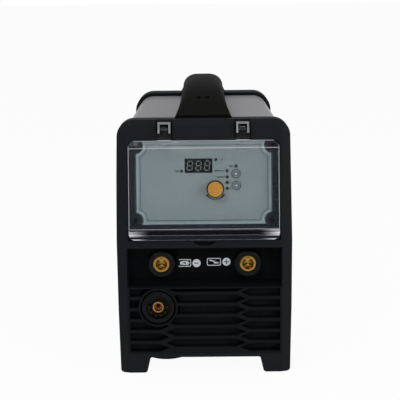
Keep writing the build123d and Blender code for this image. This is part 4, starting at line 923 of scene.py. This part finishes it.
def framed_box(left, right, low, high, width, out):
    """The flat outline of a box with rounded corners."""
    bpy.ops.mesh.primitive_plane_add(size=1, location=(0, 0, 0))
    box = bpy.context.object
    box.data.transform(
        Matrix.Translation(((left + right) / 2, (low + high) / 2, out))
        @ Matrix.Diagonal((right - left, high - low, 1, 1))
    )
    bpy.ops.object.mode_set(mode="EDIT")
    bpy.ops.mesh.select_all(action="SELECT")
    bpy.ops.mesh.bevel(offset=1.8 * mm, segments=5, affect="VERTICES", clamp_overlap=True)
    bpy.ops.mesh.select_all(action="SELECT")
    bpy.ops.mesh.inset(thickness=width)
    bpy.ops.mesh.delete(type="FACE")
    bpy.ops.object.mode_set(mode="OBJECT")
    return box


minus_x, minus_up = -9.7 * mm, 133.2 * mm
plus_x, plus_up = 26.4 * mm, 134.6 * mm
sign_disc = 4.9 * mm
frame_line = 0.9 * mm
white_ink_depth = 0.06 * mm
signs = [
    flat_disc(sign_disc, minus_x, minus_up, recess_face, 48),
    flat_disc(sign_disc, plus_x, plus_up, recess_face, 48),
    framed_box(-32.4 * mm, -16.3 * mm, 128.9 * mm, 138.2 * mm, frame_line, recess_face),
    framed_box(2.8 * mm, 19.6 * mm, 129.9 * mm, 139.3 * mm, frame_line, recess_face),
    flat_bar(10.5 * mm, 1.7 * mm, -24.6 * mm, 135.1 * mm, recess_face, radians(10)),
    flat_bar(10.5 * mm, 1.7 * mm, -24.6 * mm, 132.1 * mm, recess_face, radians(-8)),
    flat_bar(4.5 * mm, 2.6 * mm, -20.6 * mm, 133.6 * mm, recess_face),
    flat_bar(12.0 * mm, 1.3 * mm, 11.4 * mm, 135.4 * mm, recess_face, radians(-14)),
    flat_bar(6.5 * mm, 2.6 * mm, 14.2 * mm, 133.8 * mm, recess_face, radians(-6)),
]
white_marks = joined("socket_marks", signs, upright_place(), white_ink_depth)
dress(white_marks, white_print)
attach(white_marks, "housing")
sign_face = recess_face + white_ink_depth
stroke = 1.2 * mm
dark_signs = [
    flat_bar(5.6 * mm, stroke, minus_x, minus_up, sign_face),
    flat_bar(6.4 * mm, stroke, plus_x, plus_up, sign_face),
    flat_bar(6.4 * mm, stroke, plus_x, plus_up, sign_face, pi / 2),
]
dark_marks = joined("polarity_marks", dark_signs, upright_place(), 0.05 * mm)
dress(dark_marks, black_print)
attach(dark_marks, "housing")

# ---------------------------------------------------------------- intake grille
# Black ABS insert with long slots that reach between each other, over a dark foam filter.
grille = moulding("front_grille", "housing", "front_grille_moulding")
round_all(grille, 0.45 * mm)
grille_abs = grained("black_grille_abs", "#0D0F10", "#121416", 0.5, 0.8 * mm, 0.03 * mm, sheen_level=0.06)
dress(grille, grille_abs)
filter_foam = grained("open_cell_foam", "#1A1C1E", "#26282B", 0.8, 1.2 * mm, 0.5 * mm, sheen_level=0.05)
dress_node("intake_filter", filter_foam)

# ---------------------------------------------------------------- torch socket
# Central connector: nylon dish, brass tube for the air and the current, a red collar inside it, and
# small brass pins for the trigger and the pilot arc.
dish = moulding("torch_socket_body", "housing", "torch_socket_dish")
round_all(dish, 0.5 * mm)
dress(dish, collar_nylon)
torch_brass = turned_brass("torch_turned_brass", -56.5 * mm, 81.8 * mm)
tube = moulding("torch_socket_contact", "housing", "torch_socket_tube")
round_all(tube, 0.35 * mm)
dress(tube, torch_brass)
# the pins' brass is aged, and darkened further as painted shade for their place deep in the socket
pin_brass_and_shade = grained("aged_brass_and_painted_shade", "#2E2114", "#3A2A18", 0.45, 0.8 * mm, 0.01 * mm, metallic=1.0)
dress_node("torch_pins", pin_brass_and_shade)
red_collar = grained("red_phenolic", "#7A2418", "#8E3020", 0.35, 0.8 * mm, 0.02 * mm)
dress_node("torch_socket_insulator", red_collar)

# ---------------------------------------------------------------- cover and handle screws
# The cover's side screws show zinc heads; the handle's sit black at the bottom of deep holes.
zinc_screw = grained("zinc_screw_plate", "#8F918E", "#A8AAA6", 0.32, 1.0 * mm, 0.01 * mm, metallic=1.0)
side_head = 3.5 * mm
side_rise = 1.6 * mm
side_low, side_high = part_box("cover_screws")
side_places = []
for side in (-1, 1):
    for part in (0, 0.5, 1):
        along = side_low[1] + side_head + part * (side_high[1] - side_low[1] - 2 * side_head)
        spot = (side * (side_high[0] - side_rise), along, side_low[2] + side_head)
        side_places.append(Matrix.Translation(spot) @ Matrix.Rotation(side * pi / 2, 4, "Y"))
set_screws(
    "cover_screw_heads",
    "housing",
    "cover_screws",
    screw(side_head, side_rise, 1.75 * mm, 8 * mm),
    side_places,
    zinc_screw,
)
handle_head = 2.8 * mm
handle_rise = 2.4 * mm
handle_low, handle_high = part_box("handle_screws")
handle_places = [
    Matrix.Translation((x, y, handle_high[2] - handle_rise))
    for x in (handle_low[0] + handle_head, handle_high[0] - handle_head)
    for y in (handle_low[1] + handle_head, handle_high[1] - handle_head)
]
set_screws(
    "handle_screw_heads",
    "housing",
    "handle_screws",
    screw(handle_head, handle_rise, 2.0 * mm, handle_high[2] - handle_low[2] - handle_rise),
    handle_places,
    black_screw,
)

# ---------------------------------------------------------------- fan
# Black polyester axial fan behind a guard of bright plated wire rings, held by four screws.
fan_polyester = grained(
    "black_fan_polyester", "#141517", "#1B1C1E", 0.45, 0.9 * mm, 0.02 * mm, sheen_level=0.2
)
for part in ("fan_frame", "fan_rotor", "compressor_fan"):
    dress_node(part, fan_polyester)
guard_low, guard_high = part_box("fan_guard")
guard_middle = Vector([(a + b) / 2 for a, b in zip(guard_low, guard_high)])
guard_rings = 5
ring_step = 11.4 * mm
ring_wire = 1.15 * mm
spoke_wire = 1.1 * mm
outer_ring = 55.5 * mm
eye_radius = 3.4 * mm
eye_start = 70.5 * mm
hole_reach = 52.5 * mm * 2**0.5
wires = []
for ring in range(1, guard_rings + 1):
    bpy.ops.mesh.primitive_torus_add(
        major_radius=ring * ring_step - 1.2 * mm,
        minor_radius=ring_wire,
        major_segments=64,
        minor_segments=10,
        location=guard_middle,
        rotation=(pi / 2, 0, 0),
    )
    wires.append(bpy.context.object)
# every second spoke crosses the rings, up, down or across; the others slant out to a screw's eye
for turn in range(8):
    angle = turn * pi / 4
    straight = turn % 2 == 0
    start, end = (0, outer_ring) if straight else (outer_ring, eye_start)
    bpy.ops.mesh.primitive_cylinder_add(
        vertices=12, radius=spoke_wire, depth=end - start, location=(0, 0, (start + end) / 2)
    )
    spoke = bpy.context.object
    bpy.ops.object.transform_apply(location=True, rotation=False, scale=False)
    spoke.data.transform(Matrix.Translation(guard_middle) @ Matrix.Rotation(angle, 4, "Y"))
    wires.append(spoke)
    if not straight:
        bpy.ops.mesh.primitive_torus_add(
            major_radius=eye_radius,
            minor_radius=spoke_wire,
            major_segments=24,
            minor_segments=8,
            rotation=(pi / 2, 0, 0),
            location=(0, 0, 0),
        )
        eye = bpy.context.object
        bpy.ops.object.transform_apply(location=True, rotation=True, scale=False)
        hole = Vector((hole_reach * sin(angle), 0, hole_reach * cos(angle)))
        eye.data.transform(Matrix.Translation(guard_middle + hole))
        wires.append(eye)
deselect()
for wire in wires:
    wire.select_set(True)
bpy.context.view_layer.objects.active = wires[0]
bpy.ops.object.join()
guard = bpy.context.object
guard.name = "fan_guard_wires"
bpy.ops.object.transform_apply(location=True, rotation=True, scale=True)
smooth(guard, 50)
bright_wire = grained("bright_nickel_wire", "#B9B9B7", "#CDCDCB", 0.2, 2 * mm, 0.004 * mm, metallic=1.0)
dress(guard, bright_wire)
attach(guard, "housing")
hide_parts("fan_guard")
fan_head = 3.6 * mm
fan_head_rise = 1.8 * mm
fan_low, fan_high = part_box("fan_screws")
set_screws(
    "fan_screw_heads",
    "housing",
    "fan_screws",
    screw(fan_head, fan_head_rise, 2.0 * mm, fan_high[1] - fan_low[1] - fan_head_rise),
    [
        Matrix.Translation((x, fan_high[1] - fan_head_rise, z)) @ Matrix.Rotation(-pi / 2, 4, "X")
        for x in (fan_low[0] + fan_head, fan_high[0] - fan_head)
        for z in (fan_low[2] + fan_head, fan_high[2] - fan_head)
    ],
    zinc_screw,
)

# ---------------------------------------------------------------- mains switch
# Snap in rocker switch: a black ABS frame and a glossy red nylon rocker.
switch_frame = moulding("power_switch_frame", "housing", "power_switch_bezel")
round_all(switch_frame, 0.5 * mm)
dress(switch_frame, skirt_abs)
rocker = moulding("power_switch_rocker", "rocker", "power_switch_key")
round_all(rocker, 0.5 * mm)
red_gloss = grained("red_gloss_nylon", "#8E1812", "#A01E16", 0.2, 1.0 * mm, 0.004 * mm)
dress(rocker, red_gloss)

# ---------------------------------------------------------------- mains gland
# Black nylon gland with a domed cap; the cap is ribbed for the fingers.
gland_nylon = grained("black_gland_nylon", "#141517", "#1C1D1F", 0.4, 0.9 * mm, 0.02 * mm, sheen_level=0.2)
gland_cap = moulding("gland_cap", "housing", "gland_cap_ribbed")
round_all(gland_cap, 0.4 * mm)
dress(gland_cap, gland_nylon)
for part in ("mains_gland", "gland_nut"):
    dress_node(part, gland_nylon)

# ---------------------------------------------------------------- inverter
# Extruded aluminium heat sinks, pale and satin; a transformer and a choke under glossy brown varnish;
# and capacitors in blue shrink sleeves.
extruded = grained("extruded_aluminium", "#B4B6B8", "#C6C8CA", 0.35, 1.5 * mm, 0.02 * mm, metallic=1.0)
dress_node("heat_sinks", extruded)
varnished = grained("varnished_copper_wire", "#8A4A1C", "#A65F2A", 0.3, 1.2 * mm, 0.2 * mm, coat=0.3)
for wound in ("main_transformer", "output_choke"):
    dress_node(wound, varnished)
sleeve_vinyl = grained("blue_shrink_sleeve", "#1A2444", "#222E52", 0.28, 1.5 * mm, 0.01 * mm)
dress_node("bus_capacitors", sleeve_vinyl)

# ---------------------------------------------------------------- compressor
# Painted motor on a steel base over rubber bushes, a die cast pump, and a rubber air hose.
motor_enamel = grained("black_motor_enamel", "#222427", "#2C2F32", 0.35, 1.5 * mm, 0.03 * mm)
dress_node("compressor_motor", motor_enamel)
die_cast = grained("die_cast_aluminium", "#9A9C9E", "#B0B2B4", 0.5, 1.2 * mm, 0.08 * mm, metallic=0.9)
dress_node("compressor_pump", die_cast)
soft_rubber = grained("black_soft_rubber", "#17181A", "#202123", 0.7, 1.0 * mm, 0.05 * mm)
for part in ("compressor_mounts", "air_hose"):
    dress_node(part, soft_rubber)

# ---------------------------------------------------------------- floor, light and camera
# White seamless paper under three soft boxes, one above and one to each side of the front. The camera
# looks down a little, and it and the clear pieces see plain white behind the unit. Glossy pieces
# mirror the white floor too.
white = (1, 1, 1, 1)
floor_gap = 0.2 * mm
floor_paper = blank_material("seamless_white_paper")
paper = add_node(
    floor_paper,
    "ShaderNodeBsdfPrincipled",
    {"Base Color": linear("#F2F2F2"), "Roughness": 0.9, "Specular IOR Level": 0.1},
)
paper_glow = add_node(floor_paper, "ShaderNodeEmission", {"Color": white, "Strength": 1.0})
paper_rays = add_node(floor_paper, "ShaderNodeLightPath").outputs
mirrored = add_node(
    floor_paper,
    "ShaderNodeMath",
    {0: paper_rays["Is Glossy Ray"], 1: paper_rays["Is Transmission Ray"]},
    operation="MAXIMUM",
)
seen = add_node(
    floor_paper, "ShaderNodeMath", {0: paper_rays["Is Camera Ray"], 1: mirrored}, operation="MAXIMUM"
)
# the twentieth that is left keeps the unit's shadow on the floor
glow = add_node(floor_paper, "ShaderNodeMath", {0: seen, 1: 0.95}, operation="MULTIPLY")
paper_mix = add_node(floor_paper, "ShaderNodeMixShader", {0: glow, 1: paper, 2: paper_glow})
add_node(floor_paper, "ShaderNodeOutputMaterial", {"Surface": paper_mix})
bpy.ops.mesh.primitive_plane_add(size=600, location=(0, 0, cad_box[0][2] - floor_gap))
floor = bpy.context.object
floor.name = "floor"
dress(floor, floor_paper)

world = bpy.data.worlds.new("studio")
world.use_nodes = True
bpy.context.scene.world = world
world.node_tree.nodes.clear()
room_light = add_node(world, "ShaderNodeBackground", {"Color": white, "Strength": 0.42})
backdrop = add_node(world, "ShaderNodeBackground", {"Color": white, "Strength": 1.0})
sky_rays = add_node(world, "ShaderNodeLightPath").outputs
sky_seen = add_node(
    world,
    "ShaderNodeMath",
    {0: sky_rays["Is Camera Ray"], 1: sky_rays["Is Transmission Ray"]},
    operation="MAXIMUM",
)
sky_mix = add_node(world, "ShaderNodeMixShader", {0: sky_seen, 1: room_light, 2: backdrop})
add_node(world, "ShaderNodeOutputWorld", {"Surface": sky_mix})


def soft_box(name, place, aim, width, height, power):
    """A rectangular area lamp aimed at a point."""
    bpy.ops.object.light_add(type="AREA", location=place)
    lamp = bpy.context.object
    lamp.name = name
    lamp.data.shape = "RECTANGLE"
    lamp.data.size = width
    lamp.data.size_y = height
    lamp.data.energy = power
    lamp.rotation_euler = (Vector(aim) - Vector(place)).to_track_quat("-Z", "Y").to_euler()


soft_box("key_box", (-0.9, -1.8, 1.9), (0, 0, 0.15), 1.2, 0.9, 19)
soft_box("fill_box", (1.4, -1.3, 0.9), (0, 0, 0.15), 0.8, 1.0, 12)
soft_box("top_box", (0, 0.2, 2.0), (0, 0.1, 0.2), 1.4, 1.4, 3)

bpy.context.scene.view_settings.view_transform = "Standard"
pitch, yaw, roll = radians(10.27), radians(-0.24), radians(-0.597)
camera_place = (0.0006, front_face - 1.273, 0.4436)
ahead = Vector((sin(yaw) * cos(pitch), cos(yaw) * cos(pitch), -sin(pitch)))
level = Vector((cos(yaw), -sin(yaw), 0))
above = level.cross(ahead)
right = cos(roll) * level + sin(roll) * above
upright = -sin(roll) * level + cos(roll) * above
bpy.ops.object.camera_add()
camera = bpy.context.object
camera.data.sensor_width = 36
camera.data.lens = 98.46
camera_turn = Matrix((right, upright, -ahead)).transposed().to_4x4()
camera.matrix_world = Matrix.Translation(camera_place) @ camera_turn
bpy.context.scene.camera = camera
